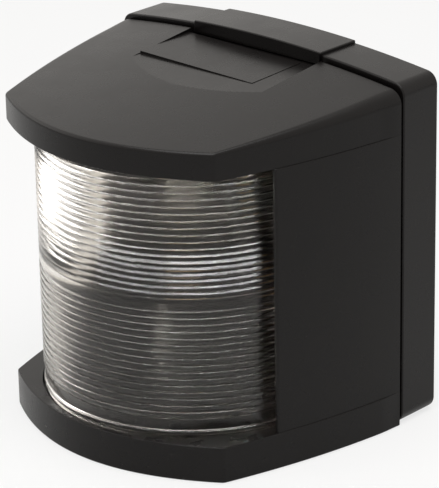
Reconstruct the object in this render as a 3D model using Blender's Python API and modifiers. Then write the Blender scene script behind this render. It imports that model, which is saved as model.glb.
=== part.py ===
"""Navigation light for a boat: a rear housing, a hinged-off front cover with a ribbed drum lens,
and a bayonet lamp hanging from a bracket.

Metres, +Z up. The light faces -Y, its back lies in the plane y = +DEPTH / 2 and it stands on z = 0.
"""

import bpy
import bmesh
import numpy as np
from math import acos, asin, atan, cos, degrees, pi, radians, sin, tau
from mathutils import Matrix, Vector

# Outer form
WIDTH = 0.1042            # across the housing and the cover's rear rim
SIDE_HEIGHT = 0.0986      # housing top at its sides
CROWN = 0.0035            # rise of the top from its sides to the middle
HOUSING_DEPTH = 0.0143    # back plane to the housing's front rim
SEAM_GAP = 0.0010         # open groove between housing and cover
SIDE_LENGTH = 0.0583      # cover's rear rim to its front corners
FRONT_WIDTH = 0.0780      # across the front corners
FRONT_BOW = 0.0131        # how far the front stands ahead of its corners
SIDE_BOW = 0.0019         # how far the sides swell out between rim and corner
VISOR_STEP = 0.0013       # housing top above the visor at the seam
VISOR_FALL = 0.0043       # visor top falls this much from seam to front rim
VISOR_RIM = 0.0076        # height of the upper visor's front rim
SILL_HEIGHT = 0.0104      # height of the lower visor
HOUSING_ROUND = 0.0037    # rounding of the housing's corners
COVER_ROUND = 0.0022      # rounding of the cover's edges
BAND_WIDTH = 0.0468       # raised keeper band on top of the housing
BAND_PROUD = 0.0008

# Walls
BACK_WALL = 0.0030
COVER_WALL = 0.0034
COVER_FLOOR = 0.0022
ROOF_WALL = 0.0030
HOUSING_FLOOR = 0.0034
GROOVE_WALL = 0.0008      # rib left beside a groove

# Fits
FIT_GAP = 0.0003          # between pieces that rest on each other
HOOK_GAP = 0.0004         # over the tongue, under the keeper band
RUN_GAP = 0.00035         # round the lamp cap and the screw, which turn
OVERCUT = 0.0020          # cutters reach this far past what they cut
EMBED = 0.0005            # how far a joined shape reaches into the one that carries it
JOIN_STEP = 0.0001        # keeps the faces of joined shapes out of one plane
BLIND_WALL = 0.0010       # wall left behind a blind hole

# Top hook and its swing
TILT = radians(25)
PANEL_WIDTH = 0.0480
PANEL_DROP = 0.0024       # panel below the visor's top at the seam
PANEL_LENGTH = 0.0332
PANEL_FALL = 0.0012       # fall of the panel's floor along its length
TONGUE_WIDTH = 0.0430
TONGUE_LENGTH = 0.0058
TONGUE_THICKNESS = 0.0020
LIP_HEIGHT = 0.0012
LIP_LENGTH = 0.0012

# Lens
LENS_RADIUS = 0.0423
LENS_BACK = 0.0421        # lens axis ahead of the back plane
LENS_ANGLE = radians(77)  # each side of straight ahead
LENS_STEPS = 22
LENS_WALL = 0.0024
RIB_PITCH = 0.00195
RIB_DEPTH = 0.0007
RIB_PEAK = 0.2            # where a rib peaks, as a share of its pitch outwards from the middle
CENTRE_BAND = 0.0046      # thick plain band at the middle of the lens
LENS_HEAD = 0.0024        # plain band at its top, inside the groove
LENS_FOOT = 0.0052        # plain band at its bottom
LENS_GROOVE = 0.0025      # depth of the grooves that hold the lens
LENS_PLAY = 0.0005
LENS_LEDGE = 0.0030       # ledge under the lens, inside it
LENS_SEAL = 0.0009
CHEEK_FRONT = 0.0569      # cheek's front edge ahead of the back plane
POST_DEPTH = 0.0059       # cheek's thick front post
BAR_LENGTH = 0.0062       # retaining bar behind each end of the lens
BAR_THICKNESS = 0.0021
BAR_REACH = 0.0008         # past the lens's inside

# Housing seal
SEAL_INSET = 0.0020
SEAL_WIDTH = 0.0020
SEAL_SEAT = 0.0012        # depth of its groove
SEAL_FOOT = 0.0130        # height of its two open ends

# Cover screw, from below
SCREW_SETBACK = 0.0061    # screw axis behind the housing's front rim
SCREW_RADIUS = 0.0020
SCREW_TRAVEL = 0.0014     # two turns of a 0.7 mm pitch
HEAD_RADIUS = 0.0038
HEAD_HEIGHT = 0.0026
HEAD_CLEAR = 0.0008       # slack head above the bottom plane
DRIVE_SLOT = 0.0010
WASHER_RADIUS = 0.0045
WASHER_THICKNESS = 0.0006
TAB_WIDTH = 0.0160
TAB_THICKNESS = 0.0024
TAB_TAPER = 0.0009        # the tab thins towards its end, to slip past the washer
TAB_OVERLAP = 0.0024      # tab behind the screw axis
TAB_ROOT = 0.0030
BOSS_WIDTH = 0.0140
BOSS_HEIGHT = 0.0088
BOSS_WALL = 0.0016        # ahead of the insert
INSERT_RADIUS = 0.0036
INSERT_LENGTH = 0.0070

# Bracket and lamp holder
SHELF_CLEAR = 0.0037      # under the cover's roof
SHELF_THICKNESS = 0.0015
SHELF_WIDTH = 0.0210
PLATE_WIDTH = 0.0400
PLATE_HEIGHT = 0.0240
POST_LENGTH = 0.0080      # housing bosses that carry the bracket
POST_RADIUS = 0.0036
POST_SPACING = 0.0300
POST_DROP = 0.0140        # below the shelf's top
SMALL_SCREW = 0.0014      # radius of bracket and terminal screws
SMALL_HEAD = 0.0026
SMALL_HEAD_HEIGHT = 0.0017
SMALL_HEAD_TOP = 0.8      # top of a head, as a share of its radius
SMALL_SCREW_GRIP = 0.0060
SOCKET_WALL = 0.0014
SOCKET_TOP = 0.0012
SOCKET_LENGTH = 0.0212
INSULATOR_THICKNESS = 0.0014
SPRING_HEIGHT = 0.0032
SPRING_RADIUS = 0.0046
SPRING_WIRE = 0.00024
SPRING_TURNS = 3
CARRIER_THICKNESS = 0.0022
CONTACT_OFFSET = 0.0034   # two contacts, each side of the axis
CONTACT_PIN = 0.0011
CONTACT_PROUD = 0.0005

# Lamp
CAP_RADIUS = 0.0075
CAP_WALL = 0.0005
CAP_LENGTH = 0.0150
PIN_DROP = 0.0065         # bayonet pins below the cap's top
PIN_RADIUS = 0.0010
PIN_PROUD = 0.0012
LIGHT_CENTRE = 0.0190     # filament below the bayonet pins
SOLDER_RADIUS = 0.0016
SOLDER_HEIGHT = 0.0012
SOLDER_TIP = 0.6          # tip of a solder contact, as a share of its radius
BASE_THICKNESS = 0.0026
GLASS_RADIUS = 0.0095
GLASS_WALL = 0.0007
STEM_RADIUS = 0.0040
STEM_LENGTH = 0.0105
LEAD_IN_RADIUS = 0.00035
FILAMENT_LENGTH = 0.0054
FILAMENT_RADIUS = 0.0008
FILAMENT_WIRE = 0.00016
FILAMENT_TURNS = 5
PRESS = 0.0018            # travel of the lamp against its spring
TWIST = radians(20)

# Wiring
BLOCK_WIDTH = 0.0220
BLOCK_HEIGHT = 0.0140
BLOCK_DEPTH = 0.0087
BLOCK_CENTRE = 0.0450     # height of the terminal block
BLOCK_SCREW_BITE = 0.0015 # the block's screw past the block
TERMINAL_SPACING = 0.0120
WIRE_RADIUS = 0.0009
WIRE_RISE = 0.0023        # wires above the shelf
GROMMET_HEIGHT = 0.0280
GROMMET_BORE = 0.0036
GROMMET_WALL = 0.0020
GROMMET_FLANGE = 0.0020
GROMMET_NOSE = 0.0027
MOUNT_HOLE = 0.0025
MOUNT_SPACING = 0.0680
MOUNT_HEIGHT = 0.0480

# Heights and depths that follow from the sizes above
DEPTH = HOUSING_DEPTH + SEAM_GAP + SIDE_LENGTH + FRONT_BOW
COVER_REAR = HOUSING_DEPTH + SEAM_GAP
FRONT_HEIGHT = SIDE_HEIGHT - VISOR_STEP - VISOR_FALL
LENS_TOP = FRONT_HEIGHT - VISOR_RIM
LENS_MIDDLE = (SILL_HEIGHT + LENS_TOP) / 2
ROOF = FRONT_HEIGHT - ROOF_WALL
TONGUE_TOP = SIDE_HEIGHT - VISOR_STEP + CROWN - PANEL_DROP
HOOK_BACK = COVER_REAR - FIT_GAP
POCKET_FLOOR = TONGUE_TOP - TONGUE_THICKNESS - TONGUE_LENGTH * sin(TILT) - HOOK_GAP
SEAL_TOP = POCKET_FLOOR - GROOVE_WALL
HOUSING_ROOF = SEAL_TOP - SEAL_WIDTH - GROOVE_WALL
HOUSING_INSIDE = WIDTH / 2 - SEAL_INSET - SEAL_WIDTH - GROOVE_WALL
LENS_INSIDE = LENS_RADIUS - LENS_WALL
POST_REAR = CHEEK_FRONT - POST_DEPTH
SCREW_BACK = HOUSING_DEPTH - SCREW_SETBACK
HEAD_RECESS = SCREW_TRAVEL + HEAD_CLEAR
WASHER_TOP = HEAD_RECESS + HEAD_HEIGHT + FIT_GAP + WASHER_THICKNESS
TAB_BOTTOM = WASHER_TOP + 2 * FIT_GAP
BOSS_BOTTOM = TAB_BOTTOM + TAB_THICKNESS + 2 * FIT_GAP
SHELF_TOP = ROOF - SHELF_CLEAR
SHELF_BOTTOM = SHELF_TOP - SHELF_THICKNESS
PLATE_BACK = BACK_WALL + POST_LENGTH + FIT_GAP
SOCKET_HIGH = SHELF_BOTTOM - FIT_GAP
SOCKET_INSIDE = CAP_RADIUS + RUN_GAP
SOCKET_RADIUS = SOCKET_INSIDE + SOCKET_WALL
INSULATOR_TOP = SOCKET_HIGH - SOCKET_TOP - FIT_GAP
SPRING_TOP = INSULATOR_TOP - INSULATOR_THICKNESS - FIT_GAP
CARRIER_TOP = SPRING_TOP - SPRING_HEIGHT - FIT_GAP
CARRIER_BOTTOM = CARRIER_TOP - CARRIER_THICKNESS
SOLDER_TOP = CARRIER_BOTTOM - CONTACT_PROUD - FIT_GAP
CAP_TOP = SOLDER_TOP - SOLDER_HEIGHT - FIT_GAP
PIN_HEIGHT = CAP_TOP - PIN_DROP
FILAMENT_HEIGHT = PIN_HEIGHT - LIGHT_CENTRE
STEM_TOP = CAP_TOP - BASE_THICKNESS - FIT_GAP
STEM_LOW = STEM_TOP - STEM_LENGTH
WIRE_HEIGHT = SHELF_TOP + WIRE_RISE
WIRE_DIP = WIRE_RISE / 4  # below the wires' height where they bend over the plate
WIRE_DROP = WIRE_RISE / 6 # and where they turn down into the holder
BLOCK_FRONT = BACK_WALL + FIT_GAP + BLOCK_DEPTH
GROMMET_RADIUS = GROMMET_BORE + GROMMET_WALL

# Colours, and each finish as (colour, roughness, metallic, transmission)
BRASS = (0.62, 0.45, 0.20, 1.0)
STEEL = (0.60, 0.60, 0.60, 1.0)
GLASS = (0.85, 0.88, 0.90, 1.0)
FINISHES = {
    "black_moulding": ((0.026, 0.025, 0.025, 1.0), 0.42, 0.0, 0.0),
    "seal_rubber": ((0.012, 0.012, 0.012, 1.0), 0.70, 0.0, 0.0),
    "clear_polycarbonate": (GLASS, 0.06, 0.0, 1.0),
    "lamp_glass": (GLASS, 0.02, 0.0, 1.0),
    "stainless_steel": (STEEL, 0.30, 1.0, 0.0),
    "spring_steel": (STEEL, 0.35, 1.0, 0.0),
    "zinc_plate": (STEEL, 0.45, 1.0, 0.0),
    "nickelled_brass": (STEEL, 0.30, 1.0, 0.0),
    "tungsten": (STEEL, 0.50, 1.0, 0.0),
    "solder": (STEEL, 0.40, 1.0, 0.0),
    "brass": (BRASS, 0.35, 1.0, 0.0),
    "phenolic_resin": ((0.20, 0.13, 0.08, 1.0), 0.55, 0.0, 0.0),
    "nylon": ((0.75, 0.72, 0.62, 1.0), 0.50, 0.0, 0.0),
    "negative_wire": ((0.02, 0.02, 0.02, 1.0), 0.50, 0.0, 0.0),
    "positive_wire": ((0.45, 0.02, 0.02, 1.0), 0.50, 0.0, 0.0),
}

# Fineness of the curved shapes
ROD_SIDES = 20
HOLE_SIDES = 12
HEAD_SIDES = 16
SOLDER_SIDES = 14
LEAD_SIDES = 8
DISC_SIDES = 28
TURNED_STEPS = 32
SMALL_TURN_STEPS = 24
WELL_STEPS = 56
CORNER_POINTS = 5
CROWN_POINTS = 17
BAND_POINTS = 9
SLOT_POINTS = 9
CHEEK_POINTS = 6
BULB_POINTS = 11
VISOR_ACROSS = 14
VISOR_ALONG = 8
EDGE_STEPS = 3
SPRING_POINTS = 10        # to a turn
FILAMENT_POINTS = 8
ROUTE_POINTS = 4          # to a span of a wire's route
SHARP_ANGLE = radians(35)
FLAT_ANGLE = radians(0.5)
WELD = 1e-6               # points this near are one
TURN_WELD = 1e-5          # and points this near a turned shape's axis


def ahead(depth):
    """The y of a plane this far ahead of the back plane."""
    return DEPTH / 2 - depth


def new_collection(name):
    made = bpy.data.collections.new(name)
    bpy.context.scene.collection.children.link(made)
    return made


def material(name):
    colour, roughness, metallic, transmission = FINISHES[name]
    made = bpy.data.materials.get(name) or bpy.data.materials.new(name)
    made.use_nodes = True
    shader = made.node_tree.nodes["Principled BSDF"]
    shader.inputs["Base Color"].default_value = colour
    shader.inputs["Roughness"].default_value = roughness
    shader.inputs["Metallic"].default_value = metallic
    shader.inputs["Transmission Weight"].default_value = transmission
    return made


def object_of(name, mesh):
    """A new helper object: it stays a hidden cutter until finished() makes it a part."""
    made = bpy.data.objects.new(name, mesh)
    cutters.objects.link(made)
    made.hide_render = True
    made.display_type = "WIRE"
    return made


def finished(piece, look, parent, name=None):
    """Moves a piece from the cutters to the parts, under the empty that it turns or slides with."""
    cutters.objects.unlink(piece)
    parts.objects.link(piece)
    piece.hide_render = False
    piece.display_type = "TEXTURED"
    if name:
        piece.name = name
    piece.data.materials.clear()
    piece.data.materials.append(look)
    if piece.type == "MESH":
        piece.data.shade_smooth()
        piece.data.set_sharp_from_angle(angle=SHARP_ANGLE)
    world = piece.matrix_basis.copy()
    piece.parent = parent
    piece.matrix_parent_inverse = parent.matrix_basis.inverted()
    piece.matrix_basis = world
    return piece


def empty(name, place):
    made = bpy.data.objects.new(name, None)
    parts.objects.link(made)
    made.location = place
    return made


def mesh_of(name, bm):
    bmesh.ops.recalc_face_normals(bm, faces=bm.faces)
    made = bpy.data.meshes.new(name)
    bm.to_mesh(made)
    bm.free()
    return made


def box(name, low, high):
    """A box between two corners, each (x, depth ahead of the back plane, z)."""
    corners = [Vector((x, ahead(d), z)) for x, d, z in (low, high)]
    size = corners[1] - corners[0]
    bm = bmesh.new()
    bmesh.ops.create_cube(bm, size=1.0, matrix=Matrix.Diagonal((*map(abs, size), 1.0)))
    made = object_of(name, mesh_of(name, bm))
    made.location = (corners[0] + corners[1]) / 2
    return made


def rod(name, radius, start, end, tip=None, sides=ROD_SIDES):
    """A cylinder, or a cone if it has a tip radius, between two points (x, depth, z)."""
    first, last = (Vector((x, ahead(d), z)) for x, d, z in (start, end))
    bm = bmesh.new()
    bmesh.ops.create_cone(bm, cap_ends=True, segments=sides, radius1=radius,
                          radius2=radius if tip is None else tip, depth=(last - first).length)
    made = object_of(name, mesh_of(name, bm))
    made.rotation_euler = (last - first).to_track_quat("Z", "Y").to_euler()
    made.location = (first + last) / 2
    return made


def turned(name, profile, place, steps=TURNED_STEPS):
    """A profile of (radius, height) pairs, which runs down its outer side, turned about a vertical axis."""
    bm = bmesh.new()
    verts = [bm.verts.new((r, 0, z)) for r, z in profile]
    closed = profile[0][0] > 0 or profile[-1][0] > 0
    for one, two in zip(verts, verts[1:] + (verts[:1] if closed else [])):
        bm.edges.new((one, two))
    mesh = bpy.data.meshes.new(name)
    bm.to_mesh(mesh)
    bm.free()
    made = object_of(name, mesh)
    made.location = place
    turn = made.modifiers.new("Turn", "SCREW")
    turn.steps = turn.render_steps = steps
    turn.use_merge_vertices = True
    turn.merge_threshold = TURN_WELD
    return made


def sector(name, profile, place, half_angle, steps):
    """A closed profile of (radius, height) pairs, spun through part of a turn each side of -Y."""
    bm = bmesh.new()
    start = -pi / 2 - half_angle
    section = bm.faces.new([bm.verts.new((r * cos(start), r * sin(start), z)) for r, z in profile])
    bmesh.ops.spin(bm, geom=[section], cent=(0, 0, 0), axis=(0, 0, 1), angle=2 * half_angle, steps=steps)
    made = object_of(name, mesh_of(name, bm))
    made.location = place
    return made


def prism(name, outline, thickness, frame):
    """A flat outline as a filled 2D curve, given thickness and turned into a mesh in the given frame."""
    curve = bpy.data.curves.new(name, "CURVE")
    curve.dimensions = "2D"
    curve.fill_mode = "BOTH"
    curve.extrude = thickness / 2
    spline = curve.splines.new("POLY")
    spline.points.add(len(outline) - 1)
    for point, (u, v) in zip(spline.points, outline):
        point.co = (u, v, 0, 1)
    spline.use_cyclic_u = True
    flat = bpy.data.objects.new(name, curve)
    cutters.objects.link(flat)
    mesh = bpy.data.meshes.new_from_object(flat.evaluated_get(bpy.context.evaluated_depsgraph_get()))
    bpy.data.objects.remove(flat)
    bm = bmesh.new()
    bm.from_mesh(mesh)
    bmesh.ops.remove_doubles(bm, verts=bm.verts, dist=WELD)
    bmesh.ops.dissolve_limit(bm, angle_limit=FLAT_ANGLE, verts=bm.verts, edges=bm.edges)
    bmesh.ops.transform(bm, matrix=frame, verts=bm.verts)
    return object_of(name, mesh_of(name, bm))


def upright(outline, near, far, name):
    """A prism whose (x, z) outline runs from one depth to another."""
    turn = Matrix.Translation((0, ahead((near + far) / 2), 0)) @ Matrix.Rotation(pi / 2, 4, "X")
    return prism(name, outline, far - near, turn)


def level(outline, low, high, name):
    """A prism whose (x, depth) outline runs from one height to another."""
    points = [(x, ahead(d)) for x, d in outline]
    return prism(name, points, high - low, Matrix.Translation((0, 0, (low + high) / 2)))


def crosswise(outline, left, right, name):
    """A prism whose (depth, z) outline runs from one x to another."""
    points = [(ahead(d), z) for d, z in outline]
    turn = Matrix(((0, 0, 1, (left + right) / 2), (1, 0, 0, 0), (0, 1, 0, 0), (0, 0, 0, 1)))
    return prism(name, points, right - left, turn)


def wire(name, points, radius, fineness=2):
    curve = bpy.data.curves.new(name, "CURVE")
    curve.dimensions = "3D"
    curve.bevel_depth = radius
    curve.bevel_resolution = fineness
    curve.use_fill_caps = True
    spline = curve.splines.new("POLY")
    spline.points.add(len(points) - 1)
    for point, place in zip(spline.points, points):
        point.co = (*place, 1)
    return object_of(name, curve)


def boolean(piece, other, operation):
    made = piece.modifiers.new(other.name, "BOOLEAN")
    made.operation = operation
    made.solver = "EXACT"
    made.object = other
    return piece


def cut(piece, *others):
    for other in others:
        boolean(piece, other, "DIFFERENCE")


def join(piece, *others):
    for other in others:
        boolean(piece, other, "UNION")


def arc(centre, radius, start, end, count=CORNER_POINTS):
    """Points along an arc, its angles in degrees."""
    turns = np.radians(np.linspace(start, end, count))
    return [(centre[0] + radius * cos(a), centre[1] + radius * sin(a)) for a in turns]


def smooth_path(points, per_span=ROUTE_POINTS):
    """Points on a smooth curve through the route's own points (Catmull-Rom)."""
    route = [Vector(p) for p in points]
    route = [2 * route[0] - route[1]] + route + [2 * route[-1] - route[-2]]
    path = []
    for a, b, c, d in zip(route, route[1:], route[2:], route[3:]):
        for t in np.linspace(0, 1, per_span, endpoint=False):
            path.append(0.5 * (2 * b + (c - a) * t + (2 * a - 5 * b + 4 * c - d) * t ** 2
                               + (3 * b - a - 3 * c + d) * t ** 3))
    return path + [route[-2]]


def coil(radius, length, turns, per_turn):
    """Points of a helix about +Z, from z = 0 to its length."""
    t = np.linspace(0, 1, turns * per_turn + 1)
    angle = tau * turns * t
    return np.stack([radius * np.cos(angle), radius * np.sin(angle), length * t], 1)


def self_gap(points, wire_radius, near):
    """Least gap of a wire to itself, between points more than `near` apart along it."""
    points = np.array(points)
    apart = np.linalg.norm(points[:, None] - points[None], axis=2)
    step = np.abs(np.arange(len(points))[:, None] - np.arange(len(points))[None])
    return apart[step > near].min() - 2 * wire_radius


def half_width(t, wall=0.0):
    """Half the cover's width: t runs from the front corners (0) to the rear rim (1)."""
    straight = FRONT_WIDTH / 2 + (WIDTH - FRONT_WIDTH) / 2 * t
    return straight + 4 * SIDE_BOW * t * (1 - t) - wall


def side_at(depth, wall=0.0):
    """Half the cover's width at a depth ahead of the back plane."""
    return half_width((COVER_REAR + SIDE_LENGTH - depth) / SIDE_LENGTH, wall)


def crown_at(x):
    return SIDE_HEIGHT + CROWN * (1 - (2 * x / WIDTH) ** 2)


def visor_point(s, t):
    """A point of the cover's top: s runs across it, -1 to 1, t from the front rim (0) to the seam (1)."""
    front = COVER_REAR + SIDE_LENGTH + FRONT_BOW * (1 - s * s)
    depth = front + (COVER_REAR - front) * t
    height = FRONT_HEIGHT + VISOR_FALL * t + CROWN * t * (1 - s * s)
    return Vector((s * half_width(t), ahead(depth), height))


def housing_outline():
    """The housing seen from the front: rounded corners that run smoothly into a crowned top."""
    side = WIDTH / 2
    r = HOUSING_ROUND
    lean = atan(8 * CROWN * (side - r) / WIDTH ** 2)
    shoulder = crown_at(side - r + r * sin(lean)) - r * cos(lean)
    top = [(x, crown_at(x)) for x in np.linspace(side - r, r - side, CROWN_POINTS)[1:-1]]
    end = 90 - degrees(lean)
    return (arc((side - r, r), r, -90, 0) + arc((side - r, shoulder), r, 0, end) + top
            + arc((r - side, shoulder), r, 180 - end, 180) + arc((r - side, r), r, 180, 270))


def make_housing():
    """Rear housing: back wall, rim, keeper band and the bosses that carry what is inside."""
    plastic = material("black_moulding")
    piece = upright(housing_outline(), 0, HOUSING_DEPTH, "rear_housing")
    half_band = BAND_WIDTH / 2
    ridge = [(x, crown_at(x) + BAND_PROUD) for x in np.linspace(half_band, -half_band, BAND_POINTS)]
    under = TONGUE_TOP + HOOK_GAP
    band = upright([(-half_band, under), (half_band, under)] + ridge, 0, HOOK_BACK, "keeper_band")
    inside = box("housing_cavity", (-HOUSING_INSIDE, BACK_WALL, HOUSING_FLOOR),
                 (HOUSING_INSIDE, HOUSING_DEPTH + OVERCUT, HOUSING_ROOF))
    tail = HOOK_BACK - TONGUE_LENGTH
    room = HOOK_GAP + FIT_GAP
    pocket = crosswise([(HOOK_BACK + OVERCUT, POCKET_FLOOR), (HOOK_BACK + OVERCUT, under),
                        (tail + LIP_LENGTH + room, under),
                        (tail + LIP_LENGTH + room, under + LIP_HEIGHT), (tail - room, under + LIP_HEIGHT),
                        (tail - room, POCKET_FLOOR)],
                       -TONGUE_WIDTH / 2 - room, TONGUE_WIDTH / 2 + room, "tongue_pocket")
    groove = upright(seal_outline(FIT_GAP), HOUSING_DEPTH - SEAL_SEAT, HOUSING_DEPTH + OVERCUT,
                     "seal_groove")
    cut(piece, inside)
    join(piece, band)
    cut(piece, pocket, groove)
    boss_top = BOSS_BOTTOM + BOSS_HEIGHT
    boss_front = SCREW_BACK + INSERT_RADIUS + BOSS_WALL
    boss = box("screw_boss", (-BOSS_WIDTH / 2, BACK_WALL - OVERCUT, BOSS_BOTTOM),
               (BOSS_WIDTH / 2, boss_front, boss_top))
    insert_hole = rod("insert_hole", INSERT_RADIUS + FIT_GAP, (0, SCREW_BACK, BOSS_BOTTOM - OVERCUT),
                      (0, SCREW_BACK, boss_top + OVERCUT))
    access = rod("screw_access", WASHER_RADIUS + RUN_GAP, (0, SCREW_BACK, -OVERCUT),
                 (0, SCREW_BACK, WASHER_TOP + FIT_GAP), sides=DISC_SIDES)
    join(piece, boss)
    cut(piece, insert_hole, access)
    for side in (-1, 1):
        x = side * POST_SPACING / 2
        z = SHELF_TOP - POST_DROP
        post = rod(f"bracket_post_{side}", POST_RADIUS, (x, BACK_WALL - OVERCUT, z),
                   (x, BACK_WALL + POST_LENGTH, z))
        hole = rod(f"bracket_post_hole_{side}", SMALL_SCREW + FIT_GAP,
                   (x, PLATE_BACK - SMALL_SCREW_GRIP - FIT_GAP, z), (x, PLATE_BACK + OVERCUT, z),
                   sides=HOLE_SIDES)
        x = side * MOUNT_SPACING / 2
        fixing = rod(f"mounting_hole_{side}", MOUNT_HOLE, (x, -OVERCUT, MOUNT_HEIGHT),
                     (x, BACK_WALL + OVERCUT, MOUNT_HEIGHT))
        join(piece, post)
        cut(piece, hole, fixing)
    entry = rod("cable_hole", GROMMET_RADIUS + FIT_GAP, (0, -OVERCUT, GROMMET_HEIGHT),
                (0, BACK_WALL + OVERCUT, GROMMET_HEIGHT), sides=SMALL_TURN_STEPS)
    block_hole = rod("block_screw_hole", SMALL_SCREW + FIT_GAP, (0, BLIND_WALL, BLOCK_CENTRE),
                     (0, BACK_WALL + OVERCUT, BLOCK_CENTRE), sides=HOLE_SIDES)
    cut(piece, entry, block_hole)
    finished(piece, plastic, base)


def seal_outline(gap):
    """The housing seal: an arch that is open at the bottom, where the light drains."""
    outer = WIDTH / 2 - SEAL_INSET + gap
    inner = outer - SEAL_WIDTH - 2 * gap
    high = SEAL_TOP + gap
    low = high - SEAL_WIDTH - 2 * gap
    r = HOUSING_ROUND
    foot = SEAL_FOOT - gap
    return ([(outer, foot)] + arc((outer - r, high - r), r, 0, 90)
            + arc((r - outer, high - r), r, 90, 180) + [(-outer, foot), (-inner, foot)]
            + [(-inner, low), (inner, low), (inner, foot)])


def make_housing_seal():
    rubber = material("seal_rubber")
    seat = HOUSING_DEPTH - SEAL_SEAT
    piece = upright(seal_outline(0), seat + FIT_GAP, COVER_REAR - FIT_GAP, "housing_seal")
    finished(piece, rubber, base)


def cover_form():
    """The cover's outer form: the visor's ruled and crowned top, carried straight down to the floor."""
    bm = bmesh.new()
    bmesh.ops.create_grid(bm, x_segments=VISOR_ACROSS, y_segments=VISOR_ALONG, size=1.0)
    for vert in bm.verts:
        vert.co = visor_point(vert.co.x, (vert.co.y + 1) / 2)
    down = bmesh.ops.extrude_face_region(bm, geom=bm.faces[:])
    for item in down["geom"]:
        if isinstance(item, bmesh.types.BMVert):
            item.co.z = 0
    floor = [f for f in bm.faces if all(v.co.z == 0 for v in f.verts)]
    bmesh.ops.dissolve_faces(bm, faces=floor)
    bmesh.ops.recalc_face_normals(bm, faces=bm.faces)
    weight = bm.edges.layers.float.new("bevel_weight_edge")
    rear = ahead(COVER_REAR) - FIT_GAP
    for edge in bm.edges:
        at_rim = all(v.co.y > rear for v in edge.verts)
        if not at_rim and len(edge.link_faces) == 2 and edge.calc_face_angle() > SHARP_ANGLE:
            edge[weight] = 1.0
    made = object_of("front_cover", mesh_of("front_cover", bm))
    bevel = made.modifiers.new("Rounded edges", "BEVEL")
    bevel.limit_method = "WEIGHT"
    bevel.width = COVER_ROUND
    bevel.segments = EDGE_STEPS
    return made


def make_cover():
    """Front cover: upper and lower visor, cheeks, lens grooves, top tongue and bottom tab."""
    plastic = material("black_moulding")
    piece = cover_form()
    depths = np.linspace(COVER_REAR - OVERCUT, POST_REAR, CHEEK_POINTS)
    right = [(side_at(max(d, COVER_REAR), COVER_WALL), d) for d in depths]
    chamber = level(right + [(-x, d) for x, d in reversed(right)], COVER_FLOOR, ROOF, "cover_chamber")
    well_radius = LENS_INSIDE - LENS_LEDGE
    groove_radius = LENS_RADIUS + LENS_PLAY
    well = turned("lens_well", [(0, ROOF), (well_radius, ROOF), (well_radius, LENS_TOP + LENS_GROOVE),
                                (groove_radius, LENS_TOP + LENS_GROOVE),
                                (groove_radius, SILL_HEIGHT - LENS_GROOVE),
                                (well_radius, SILL_HEIGHT - LENS_GROOVE), (well_radius, COVER_FLOOR),
                                (0, COVER_FLOOR)], (0, ahead(LENS_BACK), 0), steps=WELL_STEPS)
    bay = box("lens_bay", (-WIDTH, CHEEK_FRONT, SILL_HEIGHT), (WIDTH, DEPTH + OVERCUT, LENS_TOP))
    start = COVER_REAR - OVERCUT
    panel_slope = PANEL_FALL / PANEL_LENGTH
    above = SIDE_HEIGHT + CROWN + OVERCUT
    panel = crosswise([(start, TONGUE_TOP + OVERCUT * panel_slope),
                       (COVER_REAR + PANEL_LENGTH, TONGUE_TOP - PANEL_FALL),
                       (COVER_REAR + PANEL_LENGTH, above), (start, above)],
                      -PANEL_WIDTH / 2, PANEL_WIDTH / 2, "label_panel")
    cut(piece, chamber, well, bay, panel)
    tail = HOOK_BACK - TONGUE_LENGTH
    root = COVER_REAR + TAB_ROOT
    root_top = TONGUE_TOP - TAB_ROOT * panel_slope - JOIN_STEP
    tongue = crosswise([(root, root_top - TONGUE_THICKNESS), (root, root_top), (COVER_REAR, TONGUE_TOP),
                        (tail + LIP_LENGTH, TONGUE_TOP),
                        (tail + LIP_LENGTH, TONGUE_TOP + LIP_HEIGHT), (tail, TONGUE_TOP + LIP_HEIGHT),
                        (tail, TONGUE_TOP - TONGUE_THICKNESS), (COVER_REAR, TONGUE_TOP - TONGUE_THICKNESS)],
                       -TONGUE_WIDTH / 2, TONGUE_WIDTH / 2, "tongue")
    tab_end = SCREW_BACK - TAB_OVERLAP
    tab_top = TAB_BOTTOM + TAB_THICKNESS
    tab = crosswise([(root, COVER_FLOOR / 2), (root, tab_top), (tab_end, tab_top),
                     (tab_end, TAB_BOTTOM + TAB_TAPER), (COVER_REAR, TAB_BOTTOM),
                     (COVER_REAR, COVER_FLOOR / 2)], -TAB_WIDTH / 2, TAB_WIDTH / 2, "screw_tab")
    slot_half = SCREW_RADIUS + RUN_GAP
    slot = [(-slot_half, tab_end - OVERCUT)] + arc((0, SCREW_BACK), slot_half, 180, 0, SLOT_POINTS)
    slot.append((slot_half, tab_end - OVERCUT))
    slot = level(slot, TAB_BOTTOM - OVERCUT, tab_top + OVERCUT, "tab_slot")
    cut(tab, slot)
    join(piece, tongue, tab)
    finished(piece, plastic, cover_pivot)


def rib_heights(room):
    """Valleys and peaks of the ribs, counted outwards from the centre band: (is a peak, distance)."""
    first = CENTRE_BAND / 2
    count = int((room - first) / RIB_PITCH)
    steps = [first + i * RIB_PITCH for i in range(count + 1)]
    peaks = [step + RIB_PEAK * RIB_PITCH for step in steps[:-1]]
    return sorted([(d, False) for d in steps] + [(d, True) for d in peaks])


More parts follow.
